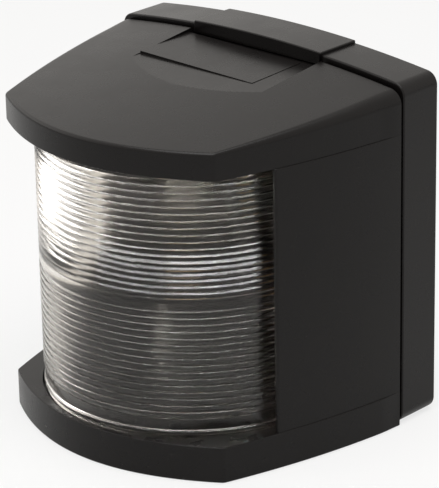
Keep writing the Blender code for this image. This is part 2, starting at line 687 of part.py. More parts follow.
def lens_profile():
    """Section of the lens, (radius, height), down the ribbed outside and up the smooth inside."""
    low = SILL_HEIGHT - LENS_GROOVE + LENS_SEAL + 2 * FIT_GAP
    high = LENS_TOP + LENS_GROOVE - LENS_SEAL - 2 * FIT_GAP
    valley = LENS_RADIUS - RIB_DEPTH
    foot = LENS_RADIUS - RIB_DEPTH / 2
    above = rib_heights(high - LENS_HEAD - LENS_MIDDLE)
    below = rib_heights(LENS_MIDDLE - LENS_FOOT - low)
    upper = [(LENS_RADIUS if peak else valley, LENS_MIDDLE + d) for d, peak in reversed(above)]
    lower = [(LENS_RADIUS if peak else valley, LENS_MIDDLE - d) for d, peak in below]
    bulge = [(LENS_RADIUS, LENS_MIDDLE + CENTRE_BAND / 4), (LENS_RADIUS, LENS_MIDDLE - CENTRE_BAND / 4)]
    head = [(foot, high), (foot, upper[0][1] + RIB_PITCH / 2)]
    base_band = [(foot, lower[-1][1] - RIB_PITCH / 2), (foot, low)]
    return head + upper + bulge + lower + base_band + [(LENS_INSIDE, low), (LENS_INSIDE, high)]


def lens_sector(name, profile):
    return sector(name, profile, (0, ahead(LENS_BACK), 0), LENS_ANGLE, LENS_STEPS)


def make_lens():
    clear = material("clear_polycarbonate")
    rubber = material("seal_rubber")
    finished(lens_sector("fresnel_lens", lens_profile()), clear, cover_pivot)
    inner, outer = LENS_INSIDE + FIT_GAP, LENS_RADIUS - RIB_DEPTH
    grooves = {"lens_seal_upper": LENS_TOP + LENS_GROOVE - FIT_GAP - LENS_SEAL,
               "lens_seal_lower": SILL_HEIGHT - LENS_GROOVE + FIT_GAP}
    for name, low in grooves.items():
        high = low + LENS_SEAL
        strip = lens_sector(name, [(outer, high), (outer, low), (inner, low), (inner, high)])
        finished(strip, rubber, cover_pivot)


def make_lens_bars():
    """A retaining bar behind each end of the lens, bonded to the cheek's inside."""
    plastic = material("black_moulding")
    front = LENS_BACK + LENS_INSIDE * cos(LENS_ANGLE) - FIT_GAP
    back = front - BAR_LENGTH
    corner = min(front, POST_REAR - FIT_GAP)
    wall = COVER_WALL + FIT_GAP
    leg = wall + BAR_THICKNESS
    nose = min(LENS_INSIDE * sin(LENS_ANGLE), side_at(front - BAR_THICKNESS, leg)) - BAR_REACH
    outline = [(nose, front - BAR_THICKNESS), (nose, front), (side_at(corner, wall) - FIT_GAP, front),
               (side_at(corner, wall), corner), (side_at(back, wall), back), (side_at(back, leg), back),
               (side_at(front - BAR_THICKNESS, leg), front - BAR_THICKNESS)]
    for side, name in ((-1, "left"), (1, "right")):
        mirrored = [(side * x, d) for x, d in outline]
        bar = level(mirrored, COVER_FLOOR + FIT_GAP, ROOF - FIT_GAP, f"lens_bar_{name}")
        finished(bar, plastic, cover_pivot)


def make_cover_screw():
    steel = material("stainless_steel")
    brass = material("brass")
    head_top = HEAD_RECESS + HEAD_HEIGHT
    tip = BOSS_BOTTOM + FIT_GAP + INSERT_LENGTH
    piece = rod("cover_screw", HEAD_RADIUS, (0, SCREW_BACK, HEAD_RECESS), (0, SCREW_BACK, head_top),
                sides=SMALL_TURN_STEPS)
    shank = rod("cover_screw_shank", SCREW_RADIUS, (0, SCREW_BACK, head_top - EMBED), (0, SCREW_BACK, tip))
    slot = box("drive_slot", (-WIDTH, SCREW_BACK - DRIVE_SLOT / 2, -OVERCUT),
               (WIDTH, SCREW_BACK + DRIVE_SLOT / 2, HEAD_RECESS + DRIVE_SLOT))
    join(piece, shank)
    cut(piece, slot)
    finished(piece, steel, screw_axis)
    hole = SCREW_RADIUS + RUN_GAP
    low = WASHER_TOP - WASHER_THICKNESS
    ring = [(WASHER_RADIUS, WASHER_TOP), (WASHER_RADIUS, low), (hole, low), (hole, WASHER_TOP)]
    place = (0, ahead(SCREW_BACK), 0)
    finished(turned("screw_washer", ring, place, steps=SMALL_TURN_STEPS), steel, screw_axis)
    low = BOSS_BOTTOM + FIT_GAP
    ring = [(INSERT_RADIUS, tip), (INSERT_RADIUS, low), (hole, low), (hole, tip)]
    finished(turned("threaded_insert", ring, place, steps=ROD_SIDES), brass, base)


def small_screw(name, x, seat, z, grip, look, parent):
    """A pan-head screw that points backwards, its head on a seat at this depth."""
    under = seat + FIT_GAP
    piece = rod(name, SMALL_HEAD, (x, under, z), (x, under + SMALL_HEAD_HEIGHT, z),
                tip=SMALL_HEAD * SMALL_HEAD_TOP, sides=HEAD_SIDES)
    shank = rod(name + "_shank", SMALL_SCREW, (x, under + EMBED, z), (x, seat - grip, z), sides=HOLE_SIDES)
    join(piece, shank)
    finished(piece, look, parent)


def make_bracket():
    """Bent plate: its upright is screwed to two bosses, its shelf carries the lamp holder."""
    zinc = material("zinc_plate")
    steel = material("stainless_steel")
    front = PLATE_BACK + SHELF_THICKNESS
    piece = box("lamp_bracket", (-PLATE_WIDTH / 2, PLATE_BACK, SHELF_TOP - PLATE_HEIGHT),
                (PLATE_WIDTH / 2, front, SHELF_TOP))
    shelf = box("bracket_shelf", (-SHELF_WIDTH / 2, front - EMBED, SHELF_BOTTOM),
                (SHELF_WIDTH / 2, LENS_BACK + SOCKET_RADIUS, SHELF_TOP - JOIN_STEP))
    join(piece, shelf)
    for side, name in ((-1, "left"), (1, "right")):
        x, z = side * POST_SPACING / 2, SHELF_TOP - POST_DROP
        hole = rod(f"bracket_hole_{name}", SMALL_SCREW + FIT_GAP, (x, PLATE_BACK - OVERCUT, z),
                   (x, front + OVERCUT, z), sides=HOLE_SIDES)
        over = side * CONTACT_OFFSET
        way = rod(f"wire_hole_{name}", WIRE_RADIUS + FIT_GAP, (over, LENS_BACK, SHELF_BOTTOM - OVERCUT),
                  (over, LENS_BACK, SHELF_TOP + OVERCUT), sides=HOLE_SIDES)
        cut(piece, hole, way)
        small_screw(f"bracket_screw_{name}", x, front, z, SMALL_SCREW_GRIP, steel, base)
    finished(piece, zinc, base)


def make_socket():
    """Bayonet holder: a cup, open downwards, with a hooked slot on each side."""
    brass = material("nickelled_brass")
    resin = material("phenolic_resin")
    place = (0, ahead(LENS_BACK), 0)
    low = SOCKET_HIGH - SOCKET_LENGTH
    inner_top = SOCKET_HIGH - SOCKET_TOP
    piece = turned("lamp_socket", [(0, SOCKET_HIGH), (SOCKET_RADIUS, SOCKET_HIGH), (SOCKET_RADIUS, low),
                                   (SOCKET_INSIDE, low), (SOCKET_INSIDE, inner_top), (0, inner_top)], place)
    reach = (CAP_RADIUS + PIN_PROUD) * sin(TWIST)
    room = PIN_RADIUS + RUN_GAP
    for side, name in ((-1, "left"), (1, "right")):
        inner, outer = sorted((side * (SOCKET_INSIDE - OVERCUT), side * (SOCKET_RADIUS + OVERCUT)))
        ends = sorted((LENS_BACK + side * room, LENS_BACK - side * (reach + room)))
        pocket = box(f"pin_pocket_{name}", (inner, ends[0], PIN_HEIGHT - room),
                     (outer, ends[1], PIN_HEIGHT + PRESS + room))
        ends = sorted((LENS_BACK - side * (reach - room), LENS_BACK - side * (reach + room)))
        entry = box(f"pin_entry_{name}", (inner, ends[0], low - OVERCUT), (outer, ends[1], PIN_HEIGHT))
        way = rod(f"socket_wire_hole_{name}", WIRE_RADIUS + FIT_GAP,
                  (side * CONTACT_OFFSET, LENS_BACK, inner_top - OVERCUT),
                  (side * CONTACT_OFFSET, LENS_BACK, SOCKET_HIGH + OVERCUT), sides=HOLE_SIDES)
        cut(piece, pocket, entry, way)
    finished(piece, brass, base)
    disc_low = INSULATOR_TOP - INSULATOR_THICKNESS
    disc = rod("socket_insulator", SOCKET_INSIDE - FIT_GAP, (0, LENS_BACK, disc_low),
               (0, LENS_BACK, INSULATOR_TOP), sides=DISC_SIDES)
    finished(disc, resin, base)


def make_spring_contacts():
    """The sprung carrier with its two contacts, which the lamp is pushed against."""
    resin = material("phenolic_resin")
    brass = material("brass")
    steel = material("spring_steel")
    helix = coil(SPRING_RADIUS, SPRING_HEIGHT - 2 * SPRING_WIRE, SPRING_TURNS, SPRING_POINTS)
    gap = self_gap(helix, SPRING_WIRE, SPRING_POINTS // 2)
    print("contact_spring: least gap to itself", round(1000 * gap, 2), "mm")
    spring = wire("contact_spring", helix, SPRING_WIRE, 1)
    spring.location = (0, ahead(LENS_BACK), SPRING_TOP - SPRING_HEIGHT + SPRING_WIRE)
    finished(spring, steel, base)
    piece = rod("contact_carrier", SOCKET_INSIDE - RUN_GAP, (0, LENS_BACK, CARRIER_BOTTOM),
                (0, LENS_BACK, CARRIER_TOP), sides=DISC_SIDES)
    for side, name in ((-1, "left"), (1, "right")):
        x = side * CONTACT_OFFSET
        hole = rod(f"contact_hole_{name}", CONTACT_PIN + FIT_GAP, (x, LENS_BACK, CARRIER_BOTTOM - OVERCUT),
                   (x, LENS_BACK, CARRIER_TOP + OVERCUT), sides=HOLE_SIDES)
        cut(piece, hole)
        pin = rod(f"contact_pin_{name}", CONTACT_PIN, (x, LENS_BACK, CARRIER_TOP),
                  (x, LENS_BACK, CARRIER_BOTTOM - CONTACT_PROUD), sides=HOLE_SIDES)
        finished(pin, brass, lamp_axis)
    finished(piece, resin, lamp_axis)


def make_lamp():
    """The lamp: cap with bayonet pins, insulated base with two contacts, bulb, stem and filament."""
    brass = material("brass")
    resin = material("phenolic_resin")
    glass = material("lamp_glass")
    tungsten = material("tungsten")
    place = (0, ahead(LENS_BACK), 0)
    cap_low = CAP_TOP - CAP_LENGTH
    bore = CAP_RADIUS - CAP_WALL
    ring = [(CAP_RADIUS, CAP_TOP), (CAP_RADIUS, cap_low), (bore, cap_low), (bore, CAP_TOP)]
    cap = turned("lamp_cap", ring, place)
    for side, name in ((-1, "left"), (1, "right")):
        stub = rod(f"bayonet_pin_{name}", PIN_RADIUS, (side * (bore + JOIN_STEP), LENS_BACK, PIN_HEIGHT),
                   (side * (CAP_RADIUS + PIN_PROUD), LENS_BACK, PIN_HEIGHT), sides=HOLE_SIDES)
        join(cap, stub)
        x = side * CONTACT_OFFSET
        solder = rod(f"lamp_contact_{name}", SOLDER_RADIUS, (x, LENS_BACK, CAP_TOP + FIT_GAP),
                     (x, LENS_BACK, SOLDER_TOP), tip=SOLDER_RADIUS * SOLDER_TIP, sides=SOLDER_SIDES)
        finished(solder, material("solder"), lamp_axis)
        x = side * (FILAMENT_LENGTH / 2 + FIT_GAP + LEAD_IN_RADIUS)
        lead = rod(f"lead_in_wire_{name}", LEAD_IN_RADIUS, (x, LENS_BACK, STEM_LOW - FIT_GAP),
                   (x, LENS_BACK, FILAMENT_HEIGHT - FILAMENT_RADIUS), sides=LEAD_SIDES)
        finished(lead, tungsten, lamp_axis)
    finished(cap, brass, lamp_axis)
    plug = rod("lamp_base", bore - FIT_GAP, (0, LENS_BACK, CAP_TOP - BASE_THICKNESS),
               (0, LENS_BACK, CAP_TOP), sides=SMALL_TURN_STEPS)
    finished(plug, resin, lamp_axis)
    stem = rod("lamp_stem", STEM_RADIUS, (0, LENS_BACK, STEM_TOP), (0, LENS_BACK, STEM_LOW),
               sides=HEAD_SIDES)
    finished(stem, glass, lamp_axis)
    neck = bore - FIT_GAP
    reach = acos(neck / GLASS_RADIUS)
    outer = [(GLASS_RADIUS * cos(a), FILAMENT_HEIGHT + GLASS_RADIUS * sin(a))
             for a in np.linspace(reach, -pi / 2, BULB_POINTS)]
    inside = GLASS_RADIUS - GLASS_WALL
    turn = asin(min(1, (neck - GLASS_WALL) / inside))
    inner = [(inside * sin(a), FILAMENT_HEIGHT + inside * cos(a))
             for a in np.linspace(pi, turn, BULB_POINTS)]
    outer[-1] = (0, FILAMENT_HEIGHT - GLASS_RADIUS)
    inner[0] = (0, FILAMENT_HEIGHT - inside)
    glass_wall = [(neck, STEM_TOP)] + outer + inner + [(neck - GLASS_WALL, STEM_TOP)]
    bulb = turned("lamp_bulb", glass_wall, place, steps=SMALL_TURN_STEPS)
    finished(bulb, glass, lamp_axis)
    helix = coil(FILAMENT_RADIUS, FILAMENT_LENGTH, FILAMENT_TURNS, FILAMENT_POINTS)
    gap = self_gap(helix, FILAMENT_WIRE, FILAMENT_POINTS // 2)
    print("filament: least gap to itself", round(1000 * gap, 2), "mm")
    filament = wire("filament", helix, FILAMENT_WIRE, 1)
    filament.rotation_euler = (0, pi / 2, 0)
    filament.location = (-FILAMENT_LENGTH / 2, ahead(LENS_BACK), FILAMENT_HEIGHT)
    finished(filament, tungsten, lamp_axis)


def make_wiring():
    """Cable grommet, terminal block and the two wires to the lamp holder."""
    rubber = material("seal_rubber")
    ivory = material("nylon")
    steel = material("stainless_steel")
    inside = BACK_WALL + FIT_GAP
    brim = GROMMET_RADIUS + GROMMET_WALL
    tip = inside + GROMMET_FLANGE + GROMMET_NOSE
    profile = [(GROMMET_RADIUS, -FIT_GAP), (GROMMET_RADIUS, -inside), (brim, -inside),
               (brim, -inside - GROMMET_FLANGE),
               (GROMMET_RADIUS, -inside - GROMMET_FLANGE), (GROMMET_BORE + GROMMET_WALL / 2, -tip),
               (GROMMET_BORE, -tip), (GROMMET_BORE, -FIT_GAP)]
    grommet = turned("cable_grommet", profile, (0, ahead(0), GROMMET_HEIGHT), steps=SMALL_TURN_STEPS)
    grommet.rotation_euler = (-pi / 2, 0, 0)
    finished(grommet, rubber, base)
    half = BLOCK_HEIGHT / 2
    block = box("terminal_block", (-BLOCK_WIDTH / 2, inside, BLOCK_CENTRE - half),
                (BLOCK_WIDTH / 2, BLOCK_FRONT, BLOCK_CENTRE + half))
    cut(block, rod("block_hole", SMALL_SCREW + FIT_GAP, (0, inside - OVERCUT, BLOCK_CENTRE),
                   (0, BLOCK_FRONT + OVERCUT, BLOCK_CENTRE), sides=HOLE_SIDES))
    small_screw("block_screw", 0, BLOCK_FRONT, BLOCK_CENTRE, BLOCK_DEPTH + BLOCK_SCREW_BITE, steel, base)
    wire_back = inside + BLOCK_DEPTH / 2
    for side, name, label in ((-1, "left", "negative"), (1, "right", "positive")):
        x = side * TERMINAL_SPACING / 2
        grip = BLOCK_DEPTH / 2 - WIRE_RADIUS - FIT_GAP
        hole = rod(f"terminal_hole_{name}", SMALL_SCREW + FIT_GAP, (x, BLOCK_FRONT + OVERCUT, BLOCK_CENTRE),
                   (x, BLOCK_FRONT - grip - FIT_GAP, BLOCK_CENTRE), sides=HOLE_SIDES)
        way = rod(f"terminal_way_{name}", WIRE_RADIUS + FIT_GAP,
                  (x, wire_back, BLOCK_CENTRE - half - OVERCUT),
                  (x, wire_back, BLOCK_CENTRE + half + OVERCUT), sides=HOLE_SIDES)
        cut(block, hole, way)
        small_screw(f"terminal_screw_{name}", x, BLOCK_FRONT, BLOCK_CENTRE, grip, steel, base)
        bend = WIRE_RISE
        turn = PLATE_BACK - bend
        over = side * CONTACT_OFFSET
        route = [(x, wire_back, BLOCK_CENTRE), (x, wire_back, BLOCK_CENTRE + half),
                 (x, wire_back, (BLOCK_CENTRE + SHELF_TOP) / 2), (x, wire_back, SHELF_TOP - bend),
                 (x, turn, WIRE_HEIGHT - WIRE_DIP), (x, PLATE_BACK + bend, WIRE_HEIGHT),
                 ((x + over) / 2, (PLATE_BACK + LENS_BACK) / 2, WIRE_HEIGHT),
                 (over, LENS_BACK - bend, WIRE_HEIGHT - WIRE_DROP), (over, LENS_BACK, SHELF_TOP + WIRE_DROP),
                 (over, LENS_BACK, INSULATOR_TOP + FIT_GAP)]
        path = smooth_path([(a, ahead(d), z) for a, d, z in route])
        finished(wire(f"lead_{label}", path, WIRE_RADIUS), material(f"{label}_wire"), base)
    finished(block, ivory, base)


for old in list(bpy.data.objects):
    bpy.data.objects.remove(old)
parts = new_collection("navigation_light")
cutters = new_collection("cutters")
base = empty("base", (0, 0, 0))
cover_pivot = empty("cover_pivot", (0, ahead(HOOK_BACK), TONGUE_TOP))
screw_axis = empty("screw_axis", (0, ahead(SCREW_BACK), 0))
lamp_axis = empty("lamp_axis", (0, ahead(LENS_BACK), FILAMENT_HEIGHT))
make_housing()
make_housing_seal()
make_cover()
make_lens()
make_lens_bars()
make_cover_screw()
make_bracket()
make_socket()
make_spring_contacts()
make_lamp()
make_wiring()
for axis in (cover_pivot, screw_axis, lamp_axis):
    axis.parent = base
print("filament height", round(1000 * FILAMENT_HEIGHT, 2), "lens middle", round(1000 * LENS_MIDDLE, 2))
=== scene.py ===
import bmesh
import bpy
import numpy as np
from mathutils import Matrix


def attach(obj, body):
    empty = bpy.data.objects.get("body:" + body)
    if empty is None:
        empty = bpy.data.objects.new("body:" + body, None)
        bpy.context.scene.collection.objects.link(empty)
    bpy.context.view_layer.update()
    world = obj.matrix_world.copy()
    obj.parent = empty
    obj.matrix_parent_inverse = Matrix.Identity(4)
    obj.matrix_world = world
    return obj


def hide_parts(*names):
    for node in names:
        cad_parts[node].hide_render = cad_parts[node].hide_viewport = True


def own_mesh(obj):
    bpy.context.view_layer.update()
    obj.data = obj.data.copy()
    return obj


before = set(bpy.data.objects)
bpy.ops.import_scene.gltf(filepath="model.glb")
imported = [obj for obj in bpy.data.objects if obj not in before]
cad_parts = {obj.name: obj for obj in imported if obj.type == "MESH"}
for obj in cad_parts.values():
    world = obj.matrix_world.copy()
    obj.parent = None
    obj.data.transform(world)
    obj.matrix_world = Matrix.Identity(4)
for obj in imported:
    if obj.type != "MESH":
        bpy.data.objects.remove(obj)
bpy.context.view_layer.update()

mm = 0.001                      # the frame is in metres, the sizes below are in millimetres
weldReach = 2e-7                # points this near, in metres, are one
light = {
    "depth": 86.7, "width": 104.2, "sideHeight": 98.6, "crown": 3.5, "coverRear": 15.3, "sideLength": 58.3,
    "frontWidth": 78.0, "frontBow": 13.1, "sideBow": 1.9, "frontHeight": 93.0, "visorFall": 4.3,
    "lensTop": 85.4, "sill": 10.4, "lensAxis": 42.1,
    "fit": 0.3,                 # gap between pieces that rest on each other
    "apart": 0.02,              # least offset between shapes that are joined or cut: no faces coincide
    "past": 2.0,                # how far a cutter runs past the face that it opens
}
frontCorner = light["coverRear"] + light["sideLength"]
rearHalf = light["width"] / 2
frontHalf = light["frontWidth"] / 2
lensAxis = light["lensAxis"]
fit = light["fit"]
apart = light["apart"]
past = light["past"]
bothSides = (("left", -1), ("right", 1))


def toFrame(x, d, z):
    # millimetres across, ahead of the back plane and up, as points of the frame in metres
    x, d, z = np.broadcast_arrays(x, d, z)
    return np.stack([x, light["depth"] / 2 - d, z], -1) * mm


def objectOf(name, data):
    made = bpy.data.objects.new(name, data)
    bpy.context.scene.collection.objects.link(made)
    return made


def closedUp(mesh):
    # doubles merged first, then the normals turned outwards
    work = bmesh.new()
    work.from_mesh(mesh)
    bmesh.ops.remove_doubles(work, verts=work.verts, dist=weldReach)
    bmesh.ops.recalc_face_normals(work, faces=work.faces)
    work.to_mesh(mesh)
    work.free()
    return mesh


def makeSolid(name, rings, closed=False):
    # rings is (rings, points, 3): quads join each ring to the next, and the two end rings are filled
    rows, columns = rings.shape[:2]
    row = np.arange(rows if closed else rows - 1)[:, None] * columns
    column = np.arange(columns)[None]
    nextRow = (row + columns) % (rows * columns)
    nextColumn = (column + 1) % columns
    quads = np.stack([row + column, row + nextColumn, nextRow + nextColumn, nextRow + column], -1)
    faces = quads.reshape(-1, 4).tolist()
    if not closed:
        faces.append(list(range(columns))[::-1])
        faces.append(list(range((rows - 1) * columns, rows * columns)))
    mesh = bpy.data.meshes.new(name)
    mesh.from_pydata(rings.reshape(-1, 3).tolist(), [], faces)
    return objectOf(name, closedUp(mesh))


def lofted(name, rings):
    # rings of points (x, d, z) in millimetres
    return makeSolid(name, toFrame(*np.moveaxis(np.array(rings), -1, 0)))


def quarterTurn(count):
    # angles of a quarter circle, for a rounded edge
    return np.linspace(0, np.pi / 2, count)


def bent(u, start, corner, end):
    # a quadratic curve: (1-u)^2 start + 2u(1-u) corner + u^2 end
    return (1 - u) ** 2 * start + 2 * u * (1 - u) * corner + u ** 2 * end


def smoothed(share):
    # 3 s^2 - 2 s^3: from 0 to 1, level at both ends
    return share ** 2 * (3 - 2 * share)


def sizesOf(piece, names):
    # the named values of a piece's dictionary, in that order
    return [piece[name] for name in names.split()]


def eased(corners, reach, steps=6):
    # each corner becomes a quadratic curve between two points that lie `reach` away from it on its two sides
    least, most = 0.01, 0.45    # smallest reach in mm, largest as a share of the side
    corners = np.array(corners, float)
    reach = np.maximum(np.broadcast_to(np.array(reach, float), len(corners)), least)

    def towards(neighbour):
        side = neighbour - corners
        sideLength = np.linalg.norm(side, axis=1)
        return (corners + side * (np.minimum(reach, most * sideLength) / sideLength)[:, None])[:, None]

    u = np.linspace(0, 1, steps)[None, :, None]
    curve = bent(u, towards(np.roll(corners, 1, 0)), corners[:, None], towards(np.roll(corners, -1, 0)))
    return curve.reshape(-1, 2)


def arc(centre, radius, start, end, count):
    # points on a circle, its angles in degrees
    turn = np.radians(np.linspace(start, end, count))
    return np.stack([centre[0] + radius * np.cos(turn), centre[1] + radius * np.sin(turn)], 1)


def movedIn(corners, inset):
    # a closed outline with every side moved in by the inset: each corner moves by e (n1 + n2) / (1 + n1.n2),
    # where n1 and n2 are the inward normals of its two sides
    following = np.roll(corners, -1, 0)
    along = following - corners
    along /= np.linalg.norm(along, axis=1, keepdims=True)
    area = np.sum(corners[:, 0] * following[:, 1] - corners[:, 1] * following[:, 0])
    after = np.stack([-along[:, 1], along[:, 0]], 1) * np.sign(area)
    before = np.roll(after, 1, 0)
    return corners + inset * (before + after) / (1 + np.sum(before * after, 1))[:, None]


def extruded(name, corners, low, high, axis, ease=(0.15, 0.15), reach=None, steps=4):
    # an outline (u, v) carried from w = low to high, each end rounded by a quarter circle of radius e:
    # inset = e (1 - cos f) and w = end -/+ e (1 - sin f)
    corners = np.array(corners, float)
    quarter = quarterTurn(steps)
    insets = np.concatenate([ease[0] * (1 - np.cos(quarter[::-1])), ease[1] * (1 - np.cos(quarter))])
    first = low + ease[0] * (1 - np.sin(quarter[::-1]))
    last = high - ease[1] * (1 - np.sin(quarter))
    w = np.concatenate([first, last])[:, None]
    rings = [movedIn(corners, inset) for inset in insets]
    if reach is not None:
        rings = [eased(ring, np.array(reach) - inset) for ring, inset in zip(rings, insets)]
    u, v = np.moveaxis(np.array(rings), -1, 0)
    return makeSolid(name, toFrame(*{"x": (w, u, v), "d": (u, w, v), "z": (u, v, w)}[axis]))


def blockOf(name, low, high, axis="z", corner=0.3, ease=0.15):
    # a box between two corners (x, d, z), its edges along the axis and round its ends eased
    along = "xdz".index(axis)
    (u0, u1), (v0, v1) = [(low[i], high[i]) for i in range(3) if i != along]
    outline = [(u0, v0), (u1, v0), (u1, v1), (u0, v1)]
    return extruded(name, outline, low[along], high[along], axis, (ease, ease), corner)


def aboutAxis(r, along, centre, axis):
    # rows of points at the radii r round an upright axis through (x, d), or a level one through (x, z)
    turn = np.arange(r.shape[1]) * 2 * np.pi / r.shape[1]
    first = centre[0] + r * np.cos(turn)
    second = centre[1] + r * np.sin(turn)
    return toFrame(*((first, second, along) if axis == "z" else (first, along, second)))


def turned(name, profile, centre, axis="z", steps=96, closed=False):
    # a profile (radius, along) turned about the axis
    profile = np.array(profile, float)
    r = profile[:, :1] + np.zeros(steps)
    return makeSolid(name, aboutAxis(r, profile[:, 1:], centre, axis), closed)


def holeAt(radius, low, high, centre, axis="z", steps=48):
    # a cylinder to cut with
    return turned("hole", [(0, low), (radius, low), (radius, high), (0, high)], centre, axis, steps)


def tube(name, path, radius, sides=16, reference=(0, 0, 1)):
    # a circle carried along a path: path + r (cos a * side + sin a * up), where the side is square to both
    # the travel and the reference
    path = np.array(path, float)
    travel = np.gradient(path, axis=0)
    travel /= np.linalg.norm(travel, axis=1, keepdims=True)
    side = np.cross(travel, np.array(reference, float))
    side /= np.linalg.norm(side, axis=1, keepdims=True)
    up = np.cross(side, travel)
    turn = (np.arange(sides) * 2 * np.pi / sides)[None, :, None]
    reach = np.broadcast_to(radius, len(path))[:, None, None]
    return lofted(name, path[:, None] + reach * (np.cos(turn) * side[:, None] + np.sin(turn) * up[:, None]))


def combine(piece, operation, *others):
    # a Boolean made at once; the helper shapes are removed
    for other in others:
        step = piece.modifiers.new("combine", "BOOLEAN")
        step.operation = operation
        step.solver = "EXACT"
        step.object = other
        graph = bpy.context.evaluated_depsgraph_get()
        made = bpy.data.meshes.new_from_object(piece.evaluated_get(graph))
        piece.modifiers.remove(step)
        piece.data = made
        bpy.data.objects.remove(other)
    return piece


def mergedCopy(node, name):
    # a copy of a CAD node's loose triangles, merged into one closed surface
    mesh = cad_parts[node].data.copy()
    mesh.materials.clear()
    return objectOf(name, closedUp(mesh))


def dress(piece, body, slot, finish, *nodes, sharp=32):
    # shading, finish and place in the frame of one new piece
    piece.data.materials.clear()
    piece.data.materials.append(finish)
    piece.data.shade_smooth()
    piece.data.set_sharp_from_angle(angle=np.radians(sharp))
    weighted = piece.modifiers.new("even shading", "WEIGHTED_NORMAL")
    weighted.keep_sharp = True
    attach(piece, body)
    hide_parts(*nodes)
    print("piece", piece.name, len(piece.data.polygons), "faces")
    return piece


# finishes

def linearOf(code):
    # sRGB hex to a linear colour
    shares = np.array([int(code[i:i + 2], 16) for i in (0, 2, 4)]) / 255
    linear = np.where(shares <= 0.04045, shares / 12.92, ((shares + 0.055) / 1.055) ** 2.4)
    return (*linear.tolist(), 1.0)


def addNode(tree, kind, settings, links):
    # settings are the node's own attributes; links maps an input to a value or to another node's output
    node = tree.nodes.new(kind)
    for key, value in settings.items():
        setattr(node, key, value)
    for key, value in links.items():
        if isinstance(value, bpy.types.NodeSocket):
            tree.links.new(value, node.inputs[key])
        else:
            node.inputs[key].default_value = value
    return node


def newFinish(name, constants):
    # constants go on the shader's own sockets
    made = bpy.data.materials.new(name)
    made.use_nodes = True
    shader = made.node_tree.nodes["Principled BSDF"]
    for key, value in constants.items():
        shader.inputs[key].default_value = value
    return made, made.node_tree, shader


def perMm(size):
    # a noise scale whose features are about this many millimetres on Object coordinates in metres
    return 1 / (size * mm)


patches = {"size": 9.0, "detail": 4.0, "grainDetail": 3.0, "low": 0.3, "high": 0.7}


def makeFinish(name, constants, rough, grain, height, tones=None):
    # two noises: a broad one drives roughness and tone, and a fine one of `grain` mm gives a bump that is
    # `height` mm deep
    made, tree, shader = newFinish(name, constants)
    place = addNode(tree, "ShaderNodeTexCoord", {}, {}).outputs["Object"]
    broad = addNode(tree, "ShaderNodeTexNoise", {}, {"Vector": place, "Scale": perMm(patches["size"]),
                                                     "Detail": patches["detail"]}).outputs["Fac"]
    fine = addNode(tree, "ShaderNodeTexNoise", {}, {"Vector": place, "Scale": perMm(grain),
                                                    "Detail": patches["grainDetail"]}).outputs["Fac"]
    spread = addNode(tree, "ShaderNodeMapRange", {}, {"Value": broad, "From Min": patches["low"],
                                                      "From Max": patches["high"], "To Min": rough[0],
                                                      "To Max": rough[1]})
    tree.links.new(spread.outputs["Result"], shader.inputs["Roughness"])
    bump = addNode(tree, "ShaderNodeBump", {}, {"Height": fine, "Distance": height * mm, "Strength": 1.0})
    tree.links.new(bump.outputs["Normal"], shader.inputs["Normal"])
    if tones:
        blend = addNode(tree, "ShaderNodeMix", {"data_type": "RGBA"},
                        {"Factor": broad, 6: linearOf(tones[0]), 7: linearOf(tones[1])})
        tree.links.new(blend.outputs[2], shader.inputs["Base Color"])
    return made


metal = {"Metallic": 1.0}

# black ABS, injection moulded in a spark-eroded tool: a dull sheen over a fine even grain.
# The grain is 0.1 mm on the real thing and drawn at 0.22 mm so that it shows.
mouldedAbs = makeFinish("moulded_abs", {"IOR": 1.5, "Specular IOR Level": 0.19}, (0.25, 0.31), 0.22, 0.005,
                        ("100e0e", "141211"))

# clear polycarbonate, moulded in a polished tool: glassy, with a very slight haze
clearPolycarbonate = makeFinish("clear_polycarbonate", {
    "Base Color": linearOf("fbf7f1"), "IOR": 1.585, "Transmission Weight": 1.0,
    "Specular Tint": linearOf("a0a0a0")}, (0.09, 0.13), 0.8, 0.0004)

# nitrile rubber, moulded: matt and dead black
nitrileRubber = makeFinish("nitrile_rubber", {"Specular IOR Level": 0.3}, (0.66, 0.78), 0.4, 0.01,
                           ("0c0c0c", "151515"))

# stainless steel, turned: bright grey with a soft sheen
stainlessSteel = makeFinish("stainless_steel", metal, (0.22, 0.34), 0.3, 0.002, ("b9b8b5", "cbcac6"))

# zinc-plated sheet steel, passivated: bluish grey, a little cloudy
zincPlate = makeFinish("zinc_plated_steel", metal, (0.32, 0.5), 0.5, 0.004, ("a3a7ab", "c3c4c2"))

# nickel-plated brass, pressed: warm silver
nickelledBrass = makeFinish("nickelled_brass", metal, (0.18, 0.32), 0.4, 0.002, ("c2b9aa", "d3ccc0"))

# drawn brass: yellow metal, slightly tarnished in patches
drawnBrass = makeFinish("drawn_brass", metal, (0.26, 0.42), 0.4, 0.003, ("a8853f", "caa75c"))

# spring steel wire, drawn: grey with a dull shine
springSteel = makeFinish("spring_steel", metal, (0.3, 0.42), 0.3, 0.002, ("8f9092", "a8a8a6"))

# tungsten wire: dark grey, matt
tungsten = makeFinish("tungsten", metal, (0.42, 0.56), 0.1, 0.002, ("65646a", "7d7c80"))

# tin solder, set from the melt: pale grey, smooth and rounded
tinSolder = makeFinish("tin_solder", metal, (0.28, 0.46), 0.6, 0.006, ("a9abac", "c8c9c8"))

# phenolic resin with wood flour, pressed: dark brown, mottled
phenolicResin = makeFinish("phenolic_resin", {"IOR": 1.55}, (0.42, 0.6), 0.35, 0.006, ("3b2517", "5a3b25"))

# polyamide, moulded: ivory, half matt, a little milky
polyamide = makeFinish("polyamide", {"IOR": 1.53, "Subsurface Weight": 0.15, "Subsurface Scale": 0.001},
                       (0.4, 0.52), 0.35, 0.006, ("a8a294", "b6b0a2"))

